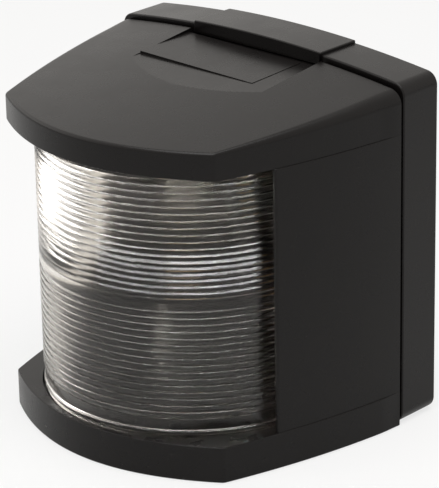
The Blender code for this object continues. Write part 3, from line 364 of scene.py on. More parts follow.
# soft PVC, extruded over stranded copper: a waxy shine
blackPvc = makeFinish("black_pvc", {"IOR": 1.53}, (0.36, 0.48), 0.5, 0.004, ("101010", "1b1b1b"))
redPvc = makeFinish("red_pvc", {"IOR": 1.53}, (0.36, 0.48), 0.5, 0.004, ("9c1414", "b11d1a"))

# soda-lime glass, blown: clear, with a slight wave in it
sodaGlass = makeFinish("soda_lime_glass", {"Base Color": linearOf("fafcfb"), "IOR": 1.52,
                                           "Transmission Weight": 1.0}, (0.0, 0.015), 4.0, 0.004)
print("finishes made")


# the cover

cover = {
    "sidePoints": 90, "frontPoints": 61, "rearPoints": 90, "cornerPoints": 7,
    "cornerEase": 0.8,          # plan rounding of the front corners
    "easeFall": 0.35, "leastEase": 0.2,             # it shrinks by this share of the inset, down to this
    "sideStart": 0.94, "frontStart": 0.83,          # its ends on the side and the front, as shares of itself
    "cheekFront": 56.9, "cheekEase": 0.6,
    "step": 0.33,               # cheek proud of the upper visor, lower visor proud of the cheek
    "cornerFillet": 0.8, "shoulderFillet": 3.6,     # the top's side edges, at the front and the rear
    "frontFillet": 0.9, "rearFillet": 0.3, "rearBlend": 0.1,
    "underEase": 0.3, "sideUnder": 0.03, "footEase": 0.5, "sillEase": 0.35, "ledgeEase": 0.25,
    "tuck": 0.8,                # the cheek's ends go this far inside the visors
    "below": (-4.0, -0.2, -0.1), "above": (0.05, 3.6),      # and lie at these levels from sill and lens top
    "fade": 8.0,                # length over which the steps die out before the rear rim
    "topMiddle": (0, 45.0), "topRings": 34, "topReach": 0.985,  # the rings that close the top
    "wall": 3.4, "floor": 2.2, "roof": 90.0, "postRear": 51.0,
    "topRounds": 14, "cornerRounds": 30,            # rounds of the two searches below
}


def halfWidth(t):
    # straight taper plus a parabolic swell, t from the front corners (0) to the rear rim (1)
    return frontHalf + (rearHalf - frontHalf) * t + 4 * light["sideBow"] * t * (1 - t)


def topHeight(x, d):
    # z of the visor's top. A point at (s, t) has d = front + (rear - front) t, x = s * halfWidth(t) and
    # z = front height + fall * t + crown * t (1 - s^2), so s and t are found from x and d in a few rounds
    s = x / rearHalf
    for _ in range(cover["topRounds"]):
        front = frontCorner + light["frontBow"] * (1 - s ** 2)
        t = (front - d) / (front - light["coverRear"])
        s = x / halfWidth(t)
    return light["frontHeight"] + light["visorFall"] * t + light["crown"] * t * (1 - s ** 2)


def fadeAt(d):
    # the steps between cheek and visors die out towards the rear rim
    return smoothed(np.clip((d - light["coverRear"]) / cover["fade"], 0, 1))


def planRing(flat, stepped, frontInset, rearDepth=None, frontDepth=None, growing=0):
    # the cover seen from above, as a closed ring (x, d). Its sides are x = halfWidth - inset * sqrt(1 + x'^2)
    # with inset = flat + stepped * fade + growing * t, its front is d = bow - inset * sqrt(1 + d'^2) or a
    # straight line, and they meet in a corner that a quadratic curve rounds
    rearDepth = light["coverRear"] if rearDepth is None else rearDepth
    bow, ease, frontStart = light["frontBow"], cover["cornerEase"], cover["frontStart"]
    if frontDepth is not None:
        ease, frontStart = cover["cheekEase"], 1

    def sideX(d):
        t = np.minimum((frontCorner - d) / light["sideLength"], 1)
        lean = (rearHalf - frontHalf + 4 * light["sideBow"] * (1 - 2 * t)) / light["sideLength"]
        return halfWidth(t) - (flat + stepped * fadeAt(d) + growing * t) * np.sqrt(1 + lean ** 2)

    def frontD(x):
        if frontDepth is not None:
            return frontDepth - frontInset + 0 * x
        lean = 2 * bow * x / frontHalf ** 2
        return frontCorner + bow * (1 - (x / frontHalf) ** 2) - frontInset * np.sqrt(1 + lean ** 2)

    corner = np.array([frontHalf, frontCorner])
    for _ in range(cover["cornerRounds"]):
        corner = np.array([sideX(corner[1]), frontD(corner[0])])
    reach = max(ease - cover["easeFall"] * frontInset, cover["leastEase"])
    d = np.linspace(rearDepth, corner[1] - cover["sideStart"] * reach, cover["sidePoints"])
    side = np.stack([sideX(d), d], 1)
    x = np.linspace(corner[0] - frontStart * reach, 0, cover["frontPoints"])
    front = np.stack([x, frontD(x)], 1)
    u = np.linspace(0, 1, cover["cornerPoints"] + 2)[1:-1, None]
    half = np.concatenate([side, bent(u, side[-1], corner, front[0]), front])
    rearX = np.linspace(-side[0, 0], side[0, 0], cover["rearPoints"] + 2)[1:-1]
    return np.concatenate([half, half[-2::-1] * [-1, 1], np.stack([rearX, rearX * 0 + rearDepth], 1)])


def along(side, front, rear):
    # a value for every point of a ring, running smoothly from side to front across the corner
    inCorner = (np.arange(cover["cornerPoints"]) + 1) / (cover["cornerPoints"] + 1)
    share = np.concatenate([np.zeros(cover["sidePoints"]), inCorner, np.ones(cover["frontPoints"])])
    half = side + (front - side) * smoothed(share)
    return np.concatenate([half, half[-2::-1], rear + np.zeros(cover["rearPoints"])])


def atHeight(ring, z):
    # a ring (x, d) with its heights
    return np.column_stack([ring, np.broadcast_to(z, len(ring))])


def lowerVisor():
    # foot and sill are rounded by quarter circles: inset e (1 - cos f), and e (1 - sin f) short of the end
    foot, ease, step = sizesOf(cover, "footEase sillEase step")
    rings = []
    for f in quarterTurn(6)[::-1]:
        inset = foot * (1 - np.cos(f))
        rings.append(atHeight(planRing(inset, -step, inset), foot * (1 - np.sin(f))))
    drop = ease * fadeAt(rings[0][:, 1])
    for f in quarterTurn(6):
        inset = ease * (1 - np.cos(f))
        rings.append(atHeight(planRing(0, inset - step, inset), light["sill"] - drop * (1 - np.sin(f))))
    return lofted("lower_visor", rings)


def cheeks():
    # the walls beside the lens: rounded along the top as the sill is, and hidden ends inside both visors
    sill, lensTop, tuck, ease = light["sill"], light["lensTop"], cover["tuck"], cover["ledgeEase"]
    place = {"rearDepth": light["coverRear"] + apart / 2, "frontDepth": cover["cheekFront"]}
    tucked = planRing(tuck, 0, tuck, **place)
    flush = planRing(apart, 0, 0, **place)
    rings = [atHeight(ring, sill + level) for ring, level in zip((tucked, tucked, flush), cover["below"])]
    drop = ease * fadeAt(flush[:, 1])
    for f in quarterTurn(5):
        inset = ease * (1 - np.cos(f))
        rings.append(atHeight(planRing(apart, inset, inset, **place), lensTop - drop * (1 - np.sin(f))))
    rings += [atHeight(tucked, lensTop + level) for level in cover["above"]]
    return lofted("cheeks", rings)


def upperVisor():
    # rings from the rounded underside up the walls, over the fillet and across the top
    flush, step, under = 2 * apart, cover["step"], cover["underEase"]
    narrow, wide = cover["cornerFillet"], cover["shoulderFillet"]
    front, rear, blend = sizesOf(cover, "frontFillet rearFillet rearBlend")
    lift = along(cover["sideUnder"], under, cover["sideUnder"])
    rings = []
    for f in quarterTurn(5)[::-1]:
        ring = planRing(flush, step, under * (1 - np.cos(f)))
        rings.append(atHeight(ring, light["lensTop"] + lift * (1 - np.sin(f))))
    # fillet into the top: inset r (1 - cos f), and z = top - r (1 - sin f), with r growing towards the rear
    t = np.clip((frontCorner - ring[:, 1]) / light["sideLength"], 0, 1)
    inFront = along(0, 1, 0)
    radii = (narrow + (wide - narrow) * t) * (1 - inFront) + front * inFront
    u = np.abs(np.linspace(-1, 1, cover["rearPoints"] + 2)[1:-1])
    toEnd = np.clip((u - (1 - blend)) / blend, 0, 1)
    radii[-cover["rearPoints"]:] = rear + (wide - rear) * toEnd ** 2
    for f in quarterTurn(12):
        inwards = 1 - np.cos(f)
        flat = planRing(flush + narrow * inwards, step, front * inwards, light["coverRear"] + rear * inwards,
                        growing=(wide - narrow) * inwards)
        rings.append(atHeight(flat, topHeight(flat[:, 0], flat[:, 1]) - radii * (1 - np.sin(f))))
    # the rest of the top: rings that shrink towards the middle, each on the top's own height
    for u in np.linspace(0, cover["topReach"], cover["topRings"])[1:]:
        shrunk = flat * (1 - u) + np.array(cover["topMiddle"]) * u
        rings.append(atHeight(shrunk, topHeight(shrunk[:, 0], shrunk[:, 1])))
    return lofted("upper_visor", rings)


panel = {
    "half": 24.0, "floorHigh": 98.4, "slope": 0.0361, "end": 52.0,
    "clear": 110.0,             # a level above the whole light
    "plateHigh": 99.06, "plateSlope": 0.035, "plateStart": 16.4, "plateEnd": 36.0, "plateRight": 17.5,
    "plateTilt": 0.013,         # the plate falls towards its right edge, where it all but meets the floor
    "plateLow": 95.0, "plateIn": 0.05,              # its root, and how far it goes into the wall
}
tongue = {"half": 21.5, "top": 98.4, "thickness": 2.0, "back": 15.0, "length": 5.8, "lip": 1.2, "root": 3.0,
          "sink": 0.1, "ease": 0.2}
tab = {"half": 8.0, "bottom": 6.3, "thickness": 2.4, "taper": 0.9, "screwBack": 8.2, "overlap": 2.4,
       "root": 3.0, "slotHalf": 2.35, "ease": 0.25, "endEase": 0.3}
well = {"ledge": 36.9, "groove": 42.8, "grooveDepth": 2.5, "steps": 288,
        "slotIn": 39.0, "slotOut": 43.4, "slotRear": 53.4, "slotCorner": 0.2}       # beside each lens end


def coverHollows():
    # what is cut out: the chamber, the room of the lens, the panel's recess and the slots
    rear, floor, roof, inside = light["coverRear"], cover["floor"], cover["roof"], apart / 2
    d = np.linspace(rear - past, cover["postRear"], 60)
    t = (frontCorner - np.maximum(d, rear)) / light["sideLength"]
    right = np.stack([halfWidth(t) - cover["wall"], d], 1)
    chamber = extruded("chamber", np.concatenate([right, right[::-1] * [-1, 1]]), floor, roof, "z", (0, 0))
    low, high = light["sill"] - well["grooveDepth"], light["lensTop"] + well["grooveDepth"]
    ledge, groove = well["ledge"], well["groove"]
    room = turned("lens_well", [(0, roof - inside), (ledge, roof - inside), (ledge, high), (groove, high),
                                (groove, low), (ledge, low), (ledge, floor + inside), (0, floor + inside)],
                  (0, lensAxis), steps=well["steps"])
    start, end, top, slope = rear - past, panel["end"], panel["floorHigh"], panel["slope"]
    recess = extruded("panel_recess", [(start, top + past * slope), (end, top - slope * (end - rear)),
                                       (end, panel["clear"]), (start, panel["clear"])],
                      -panel["half"], panel["half"], "x", (0, 0))
    slots = []
    for sign in (1, -1):
        near, far = sorted((sign * well["slotIn"], sign * well["slotOut"]))
        slots.append(blockOf("end_slot", (near, well["slotRear"], light["sill"] + apart),
                             (far, cover["cheekFront"] + past / 2, light["lensTop"] - apart),
                             corner=well["slotCorner"], ease=apart))
    return chamber, room, recess, *slots


def panelPlate():
    # a thin wedge on the floor of the recess
    first, last = panel["plateStart"], panel["plateEnd"]
    ends = np.array([-panel["half"] - panel["plateIn"], panel["plateRight"]])[:, None]
    fall = panel["plateTilt"] * (ends - ends[0])
    d = np.array([[first, last, last, first]])
    top = panel["plateHigh"] - panel["plateSlope"] * (d - light["coverRear"]) - fall
    z = np.where([[False, False, True, True]], top, panel["plateLow"])
    return makeSolid("panel_plate", toFrame(ends, d, z))


def hookTongue():
    # the tongue that reaches under the keeper band, with a lip along its end
    rear, half = light["coverRear"], tongue["half"]
    top, lip, ease, reach = sizesOf(tongue, "top lip ease root")
    tail = tongue["back"] - tongue["length"]
    root = rear + reach
    under = top - tongue["thickness"]
    drop = reach * panel["slope"] + tongue["sink"]
    outline = [(root, under - drop), (root, top - drop), (rear, top), (tail + lip, top),
               (tail + lip, top + lip), (tail, top + lip), (tail, under), (rear, under)]
    return extruded("tongue", outline, -half, half, "x", (ease, ease), ease)


def slottedTab():
    # the tab that the screw clamps, its slot open to the rear
    rear, low = light["coverRear"], cover["floor"] / 2
    half, bottom, screwBack, r, endEase = sizesOf(tab, "half bottom screwBack slotHalf endEase")
    end = screwBack - tab["overlap"]
    high = bottom + tab["thickness"]
    root = rear + tab["root"]
    outline = [(root, low), (root, high), (end, high), (end, bottom + tab["taper"]), (rear, bottom),
               (rear, low)]
    strap = extruded("screw_tab", outline, -half, half, "x", (endEase, endEase), tab["ease"])
    slot = np.concatenate([[(-r, end - past)], arc((0, screwBack), r, 180, 0, 40), [(r, end - past)]])
    return combine(strap, "DIFFERENCE", extruded("tab_slot", slot, bottom - past, high + past, "z", (0, 0)))


def makeCover():
    # the visors and cheeks are joined and hollowed, then get the plate, the tongue and the tab
    piece = lowerVisor()
    combine(piece, "UNION", cheeks(), upperVisor())
    print("cover form", len(piece.data.polygons), "faces")
    combine(piece, "DIFFERENCE", *coverHollows())
    combine(piece, "UNION", panelPlate(), hookTongue(), slottedTab())
    piece.name = "cover_shell"
    dress(piece, "cover", "black_moulding", mouldedAbs, "front_cover")


makeCover()


# the housing

housing = {
    "round": 3.7, "roundPoints": 18, "topPoints": 122, "backEase": 0.5, "frontEase": 0.5, "rim": 14.28,
    "bandHalf": 23.4, "bandProud": 0.8, "bandFront": 14.98, "bandEase": 0.35, "bandLow": 96.0,
    "bandEnd": 1.0,             # length of its top that is left to each rounded corner
    "skin": 1.2,                # thickness that is rebuilt; inside it the CAD's own shape is kept
    "insideBack": 0.8, "insideFront": 20.0,
    "accessRadius": 4.87, "accessTop": 6.02, "screwBack": 8.2, "holeSteps": 96, "wall": 3.0,
    "holes": [(-34.0, 48.0, 2.52), (34.0, 48.0, 2.52), (0, 28.0, 5.92)],        # x, z, radius
}


def crownAt(x):
    # z of the housing's top: side height + crown (1 - (x / half width)^2)
    return light["sideHeight"] + light["crown"] * (1 - (x / rearHalf) ** 2)


def housingOutline(inset):
    # rounded corners that run smoothly into the crowned top, all moved in by the inset
    r = housing["round"]
    side = rearHalf - r
    lean = np.arctan(2 * light["crown"] * side / rearHalf ** 2)
    shoulder = crownAt(side + r * np.sin(lean)) - r * np.cos(lean)
    end = 90 - np.degrees(lean)
    x = np.linspace(side, -side, housing["topPoints"])[1:-1]
    top = np.stack([x, crownAt(x) - inset], 1)
    radius, points = r - inset, housing["roundPoints"]
    return np.concatenate([arc((side, r), radius, -90, 0, points),
                           arc((side, shoulder), radius, 0, end, points), top,
                           arc((-side, shoulder), radius, 180 - end, 180, points),
                           arc((-side, r), radius, 180, 270, points)])


def keeperBand():
    # the raised band on the crown, its upper edges rounded
    half, low, proud = sizesOf(housing, "bandHalf bandLow bandProud")
    x = np.linspace(half - housing["bandEnd"], housing["bandEnd"] - half, 20)
    ridge = np.stack([x, crownAt(x) + proud], 1)
    corner = crownAt(half) + proud
    outline = np.concatenate([[(-half, low), (half, low), (half, corner)], ridge, [(-half, corner)]])
    reach = np.zeros(len(outline))
    reach[[2, -1]] = housing["bandEase"]
    return extruded("keeper_band", outline, apart, housing["bandFront"], "d",
                    (housing["backEase"], housing["bandEase"]), reach)


def makeHousing():
    # the outside is made new, and the inside is taken from the CAD
    piece = extruded("housing_shell", housingOutline(0), 0, housing["rim"], "d",
                     (housing["backEase"], housing["frontEase"]), steps=6)
    combine(piece, "UNION", keeperBand())
    hollow = extruded("inside", housingOutline(housing["skin"]), housing["insideBack"],
                      housing["insideFront"], "d", (0, 0))
    combine(hollow, "DIFFERENCE", mergedCopy("rear_housing", "housing_inside"))
    steps, through = housing["holeSteps"], housing["wall"] + past / 2
    access = holeAt(housing["accessRadius"], -past, housing["accessTop"], (0, housing["screwBack"]),
                    steps=steps)
    holes = [holeAt(r, -past, through, (x, z), "d", steps) for x, z, r in housing["holes"]]
    combine(piece, "DIFFERENCE", hollow, access, *holes)
    dress(piece, "base", "black_moulding", mouldedAbs, "rear_housing")


makeHousing()


# the lens

lens = {
    "radius": 42.3, "angle": 77.0, "steps": 176, "wall": 2.4, "pitch": 1.95, "ribPoints": 9,
    # how far a face leans from upright at its two ends: the upper ribs nearest the middle and from half way
    # up, the lower ribs, and the centre band
    "nearTilt": (4.0, 30.0), "farTilt": (26.0, 40.0), "lowerTilt": (0.0, 24.0), "bandTilt": 20.0,
    "crest": 0.09, "lowerCrest": 0.2, "crestShare": 0.3,        # rounding of a rib's edge
    "bandAbove": 2.3, "bandBelow": 1.4,                         # the centre band, above and below the middle
    "plain": 0.5, "blend": 0.1, "head": 2.4, "foot": 5.2, "low": 9.4, "high": 86.4,
    "bead": 0.55, "beadLow": 10.6, "beadHigh": 12.2,            # rounded bead round the foot
}


def sector(name, profile, half, steps):
    # a closed profile (radius, z) swept each side of straight ahead about the lens axis
    r, z = np.array(profile, float).T
    turn = np.radians(np.linspace(-half, half, steps))[:, None]
    return makeSolid(name, toFrame(r * np.sin(turn), lensAxis + r * np.cos(turn), z))


def ribs(first, room, near, far, crest):
    # radii and distances from the middle. Each rib steps out at once from its valley over a rounded crest,
    # then its face runs back to the next valley on an arc: away = R (sin f - sin f0) and
    # inset = R (cos f0 - cos f). Its lean f changes from `near` to `far` over the first half of the ribs
    pitch, small = lens["pitch"], lens["crestShare"] * crest
    count = int((room - first) / pitch)
    share = np.minimum(2 * np.arange(count) / count, 1)[:, None]
    start, end = [np.radians(a + (b - a) * share) for a, b in zip(near, far)]
    f = start + (end - start) * np.linspace(0, 1, lens["ribPoints"])
    r = (pitch - crest) / (np.sin(end) - np.sin(start))
    away = np.concatenate([np.array([0, small]) + 0 * start, crest + r * (np.sin(f) - np.sin(start))], 1)
    inset = np.concatenate([np.array([crest, small]) + 0 * start, r * (np.cos(start) - np.cos(f))], 1)
    starts = first + pitch * np.arange(count)[:, None]
    return np.stack([lens["radius"] - inset, starts + away], -1).reshape(-1, 2)


def makeLens():
    # the profile runs down the outside, from the plain head to the foot, and up the plain inside
    middle = (light["sill"] + light["lensTop"]) / 2
    radius, low, high, rise, fall, blend = sizesOf(lens, "radius low high bandAbove bandBelow blend")
    near, far, lower = sizesOf(lens, "nearTilt farTilt lowerTilt")
    above = ribs(rise, high - lens["head"] - middle, near, far, lens["crest"])[::-1] + [0, middle]
    below = ribs(fall, middle - lens["foot"] - low, lower, lower, lens["lowerCrest"]) * [1, -1] + [0, middle]
    plain = radius - lens["plain"]
    inside = radius - lens["wall"]
    # the centre band is a shallow arc, and the bead at the foot half an ellipse
    tilt, points, bead, beadLow, beadHigh = sizesOf(lens, "bandTilt ribPoints bead beadLow beadHigh")
    f = np.radians(np.linspace(tilt, -tilt, 2 * points))
    half = (rise + fall) / 2
    r = half / np.sin(f[0])
    band = np.stack([radius - r * (1 - np.cos(f)), middle + rise - half + r * np.sin(f)], 1)
    g = np.linspace(np.pi / 2, -np.pi / 2, points)
    rounded = np.stack([plain + bead * np.cos(g), beadLow + (beadHigh - beadLow) / 2 * (1 + np.sin(g))], 1)
    profile = np.concatenate([[(plain, high), (plain, above[0, 1] + blend)], above, band[1:-1], below,
                              [(plain, below[-1, 1] - blend)], rounded,
                              [(plain, low), (inside, low), (inside, high)]])
    piece = sector("ribbed_lens", profile, lens["angle"], lens["steps"])
    return dress(piece, "cover", "clear_lens", clearPolycarbonate, "fresnel_lens", sharp=40)


ribbedLens = makeLens()


# seals, bars and cable inlet

seal = {
    "outer": 50.1, "inner": 48.1, "top": 92.75, "low": 90.75, "round": 3.7, "foot": 4.6, "rear": 13.4,
    "front": 15.24, "ease": 0.4,
    "lensOuter": 41.6, "lensInner": 40.2, "lensThick": 0.9, "lensEase": 0.25,
    "lensLow": {"upper": 86.7, "lower": 8.2},
}


def makeSeals():
    # an arch round the joint of housing and cover, and a strip at each end of the lens
    outer, inner, foot, low, r = sizesOf(seal, "outer inner foot low round")
    side, high, ease = outer - r, seal["top"] - r, seal["ease"]
    arch = np.concatenate([[(outer, foot)], arc((side, high), r, 0, 90, 16),
                           arc((-side, high), r, 90, 180, 16),
                           [(-outer, foot), (-inner, foot), (-inner, low), (inner, low), (inner, foot)]])
    piece = extruded("housing_gasket", arch, seal["rear"], seal["front"], "d", (ease, ease))
    dress(piece, "base", "seal_rubber", nitrileRubber, "housing_seal")
    outer, inner = seal["lensOuter"], seal["lensInner"]
    for place, low in seal["lensLow"].items():
        high = low + seal["lensThick"]
        section = eased([(outer, high), (outer, low), (inner, low), (inner, high)], seal["lensEase"])
        strip = sector(place + "_lens_strip", section, lens["angle"], 120)
        dress(strip, "cover", "seal_rubber", nitrileRubber, "lens_seal_" + place)


bar = {
    "front": 50.78, "corner": 50.7, "length": 6.2, "thickness": 2.1, "reach": 0.8, "low": 2.5, "high": 89.7,
    "ease": 0.3, "rounding": [0.5, 0.5, 0.05, 0.05, 0.4, 0.4, 0.4],
}


def makeBars():
    # an angle bar: one flange behind the end of the lens, the other along the cover's wall
    def sideAt(d, inset):
        return halfWidth((frontCorner - d) / light["sideLength"]) - inset

    front, back, corner = bar["front"], bar["front"] - bar["length"], bar["corner"]
    step = front - bar["thickness"]
    wall = cover["wall"] + fit
    leg = wall + bar["thickness"]
    lensEnd = (lens["radius"] - lens["wall"]) * np.sin(np.radians(lens["angle"]))
    nose = min(lensEnd, sideAt(step, leg)) - bar["reach"]
    outline = np.array([(nose, step), (nose, front), (sideAt(corner, wall) - fit, front),
                        (sideAt(corner, wall), corner), (sideAt(back, wall), back), (sideAt(back, leg), back),
                        (sideAt(step, leg), step)])
    for place, sign in bothSides:
        piece = extruded(place + "_retaining_bar", outline * [sign, 1], bar["low"], bar["high"], "z",
                         (bar["ease"], bar["ease"]), bar["rounding"])
        dress(piece, "cover", "black_moulding", mouldedAbs, "lens_bar_" + place)


inlet = {
    "height": 28.0, "bore": 3.6, "neck": 5.6, "brim": 7.6, "back": 0.3, "wall": 3.3, "flange": 5.3,
    "nose": 8.0, "ease": 0.4,
}


def makeInlet():
    # a neck through the wall, a brim inside it and a nose that narrows
    bore, neck, brim, back, wall, flange, nose = sizesOf(inlet, "bore neck brim back wall flange nose")
    profile = [(neck, back), (neck, wall), (brim, wall), (brim, flange), (neck, flange),
               ((bore + neck) / 2, nose), (bore, nose), (bore, back)]
    piece = turned("cable_inlet", eased(profile, inlet["ease"]), (0, inlet["height"]), "d", closed=True)
    dress(piece, "base", "seal_rubber", nitrileRubber, "cable_grommet")


# screws

thread = {"pitch": 0.7, "perTurn": 12, "sides": 48, "tipShare": 0.7}


def screwOf(name, tip, neck, radius, depth, head, centre, axis):
    # the shank winds as r = radius - depth (1 - cos(2 pi along / pitch - turn)) / 2, narrower at its tip, and
    # the head's profile (radius, along) follows
    pitch, sides = thread["pitch"], thread["sides"]
    shank = np.linspace(tip, neck, int(abs(neck - tip) / pitch * thread["perTurn"]))[:, None]
    turn = np.arange(sides) * 2 * np.pi / sides
    lead = np.clip(thread["tipShare"] + np.abs(shank - tip), 0, 1)
    wound = (radius - depth * (1 - np.cos(2 * np.pi * shank / pitch - turn)) / 2) * lead
    head = np.array(head)
    r = np.concatenate([wound, head[:, :1] + 0 * turn])
    return makeSolid(name, aboutAxis(r, np.concatenate([shank, head[:, 1:]]), centre, axis))


panHead = {
    "radius": 1.4, "thread": 0.25,
    "profile": np.array([(1.4, 0.0), (2.6, 0.0), (2.5, 0.3), (2.4, 0.65), (2.28, 1.0), (2.1, 1.3),
                         (1.75, 1.5), (1.2, 1.63), (0.6, 1.69), (0.0, 1.7)]),
    "slotHalf": 0.35, "slotReach": 1.5, "slotDepth": 0.9, "slotCorner": 0.1,
    "places": {                 # x, seat, height, grip
        "bracket_screw_left": (-15.0, 12.8, 72.3, 6.0), "bracket_screw_right": (15.0, 12.8, 72.3, 6.0),
        "block_screw": (0.0, 12.0, 45.0, 10.2), "terminal_screw_left": (-6.0, 12.0, 45.0, 3.15),
        "terminal_screw_right": (6.0, 12.0, 45.0, 3.15),
    },
}


def makePanHeads():
    # cross recess: two crossing slots in the head
    narrow, reach = panHead["slotHalf"], panHead["slotReach"]
    for node, (x, seat, z, grip) in panHead["places"].items():
        under = seat + fit
        piece = screwOf(node + "_threaded", seat - grip, under, panHead["radius"], panHead["thread"],
                        panHead["profile"] + [0, under], (x, z), "d")
        top = under + panHead["profile"][-1, 1]
        for across, up in ((narrow, reach), (reach, narrow)):
            slot = blockOf("slot", (x - across, top - panHead["slotDepth"], z - up),
                           (x + across, top + past / 2, z + up), "d", panHead["slotCorner"], apart)
            combine(piece, "DIFFERENCE", slot)
        dress(piece, "base", "stainless_steel", stainlessSteel, node)


fixing = {
    "back": 8.2, "head": 3.8, "low": 2.2, "neck": 4.8, "tip": 16.6, "radius": 2.0, "thread": 0.35,
    "chamfer": 0.2, "dome": [(0, 0.6), (-0.15, 0.25), (-0.5, 0.05), (-0.9, 0)],     # from (head, low)
    "slotHalf": 0.5, "slotReach": 5.0, "slotTop": 3.2, "slotCorner": 0.1,
    "washer": 4.5, "hole": 2.35, "washerLow": 5.1, "washerTop": 5.7, "washerEase": 0.12,
    "insert": 3.6, "insertLow": 9.6, "insertEase": 0.15,
    "grooveDepth": 0.35, "grooves": [(4.6, 3.6), (2.6, 1.6)],       # tops and bottoms, from insertLow
}


def makeFixing():
    # the cover's screw with its slotted head, its washer and the insert that it goes into
    head, low, neck, back, radius = sizesOf(fixing, "head low neck back radius")
    place, half, chamfer = (0, back), fixing["slotHalf"], fixing["chamfer"]
    profile = np.concatenate([[(radius, neck), (head - chamfer, neck), (head, neck - chamfer)],
                              np.array(fixing["dome"]) + [head, low], [(0, low)]])
    piece = screwOf("slotted_screw", fixing["tip"], neck, radius, fixing["thread"], profile, place, "z")
    slot = blockOf("slot", (-fixing["slotReach"], back - half, low - past / 2),
                   (fixing["slotReach"], back + half, fixing["slotTop"]), "x", fixing["slotCorner"], apart)
    combine(piece, "DIFFERENCE", slot)
    dress(piece, "screw", "stainless_steel", stainlessSteel, "cover_screw")
    r, low, high, hole = sizesOf(fixing, "washer washerLow washerTop hole")
    ring = eased([(r, high), (r, low), (hole, low), (hole, high)], fixing["washerEase"])
    piece = turned("plain_washer", ring, place, closed=True)
    dress(piece, "washer", "stainless_steel", stainlessSteel, "screw_washer")
    # two grooves round the insert lock it in the plastic
    r, low, high, depth = sizesOf(fixing, "insert insertLow tip grooveDepth")
    grooves = [(r - inset, low + level) for top, bottom in fixing["grooves"]
               for inset, level in ((0, top), (depth, top), (depth, bottom), (0, bottom))]
    ring = eased([(r, high), *grooves, (r, low), (hole, low), (hole, high)], fixing["insertEase"])
    piece = turned("grooved_insert", ring, place, closed=True)
    dress(piece, "base", "brass", drawnBrass, "threaded_insert")


# lamp holder

def discOf(name, radius, low, high, ease, centre):
    # a disc, its edges rounded: radius = R - e + e sin f and z = end +/- e (1 - cos f)
    f = quarterTurn(5)
    r = radius - ease * (1 - np.sin(f))
    z = ease * (1 - np.cos(f))
    profile = np.concatenate([[(0, low)], np.stack([r, low + z], 1), np.stack([r, high - z], 1)[::-1],
                              [(0, high)]])
    return turned(name, profile, centre)


bracket = {
    "half": 20.0, "back": 11.3, "front": 12.8, "low": 62.3, "top": 86.3, "shelfHalf": 10.5, "shelfBack": 12.3,
    "shelfEnd": 51.35, "shelfLow": 84.8, "shelfTop": 86.2, "corner": 2.5, "rootCorner": 0.05,
    "bend": 1.8, "bendIn": 0.2, "lap": 0.1,         # fills the bend, short of the sides and into both plates
    "holeHalf": 15.0, "holeHeight": 72.3, "hole": 1.7, "wireHalf": 3.4, "wireHole": 1.2,
}


def makeBracket():
    # an upright plate, a shelf that reaches over the lens axis and the round inside of the bend between them
    half, back, end, low, top = sizesOf(bracket, "shelfHalf shelfBack shelfEnd shelfLow shelfTop")
    front, bend, lap = sizesOf(bracket, "front bend lap")
    corner, root, width = bracket["corner"], bracket["rootCorner"], half - bracket["bendIn"]
    piece = blockOf("bent_bracket", (-bracket["half"], bracket["back"], bracket["low"]),
                    (bracket["half"], front, bracket["top"]), "d", corner)
    shelf = extruded("shelf", [(-half, back), (half, back), (half, end), (-half, end)], low, top, "z",
                     reach=[root, root, corner, corner])
    inside = np.concatenate([[(front - lap, low + lap), (front + bend, low + lap)],
                             arc((front + bend, low - bend), bend, 90, 180, 9), [(front - lap, low - bend)]])
    combine(piece, "UNION", shelf, extruded("bend", inside, -width, width, "x", (0, 0)))
    for sign in (-1, 1):
        screwPlace = (sign * bracket["holeHalf"], bracket["holeHeight"])
        wirePlace = (sign * bracket["wireHalf"], lensAxis)
        combine(piece, "DIFFERENCE",
                holeAt(bracket["hole"], bracket["back"] - past, front + past, screwPlace, "d"),
                holeAt(bracket["wireHole"], low - past, top + past, wirePlace))
    dress(piece, "base", "plated_steel", zincPlate, "lamp_bracket")


holder = {
    "radius": 9.25, "inside": 7.85, "low": 63.3, "high": 84.5, "roof": 83.3, "wireHalf": 3.4, "wireHole": 1.2,
    # a pressed cup: rounded top edge and a groove, from (radius, high), a rolled rim, from (radius, low), and
    # its inner edge, from (inside, low)
    "edge": [(-0.8, 0), (-0.35, -0.1), (-0.1, -0.35), (0, -0.8), (0, -3.3), (-0.25, -3.6), (-0.25, -4.2),
             (0, -4.5)],
    "rim": [(0, 0.4), (-0.15, 0.1), (-0.4, 0)], "lip": [(0.3, 0), (0, 0.3)],
    "pinHeight": 66.8, "pinRoom": 1.35, "press": 1.8, "turn": 2.976,
    "pocketCorner": 0.9, "entryCorner": 0.1, "entryLap": 0.2,
    "insulator": (7.55, 81.6, 83.0, 0.2), "carrier": (7.5, 75.6, 77.8, 0.25),       # radius, low, high, ease
    "contactHole": 1.4,
    "contact": [(0, 77.8), (1.0, 77.8), (1.1, 77.7), (1.1, 75.5), (0.95, 75.25), (0.6, 75.12), (0, 75.1)],
    "spring": 4.6, "springWire": 0.24, "springLow": 78.1, "springHigh": 81.3, "springTurns": 3,
}


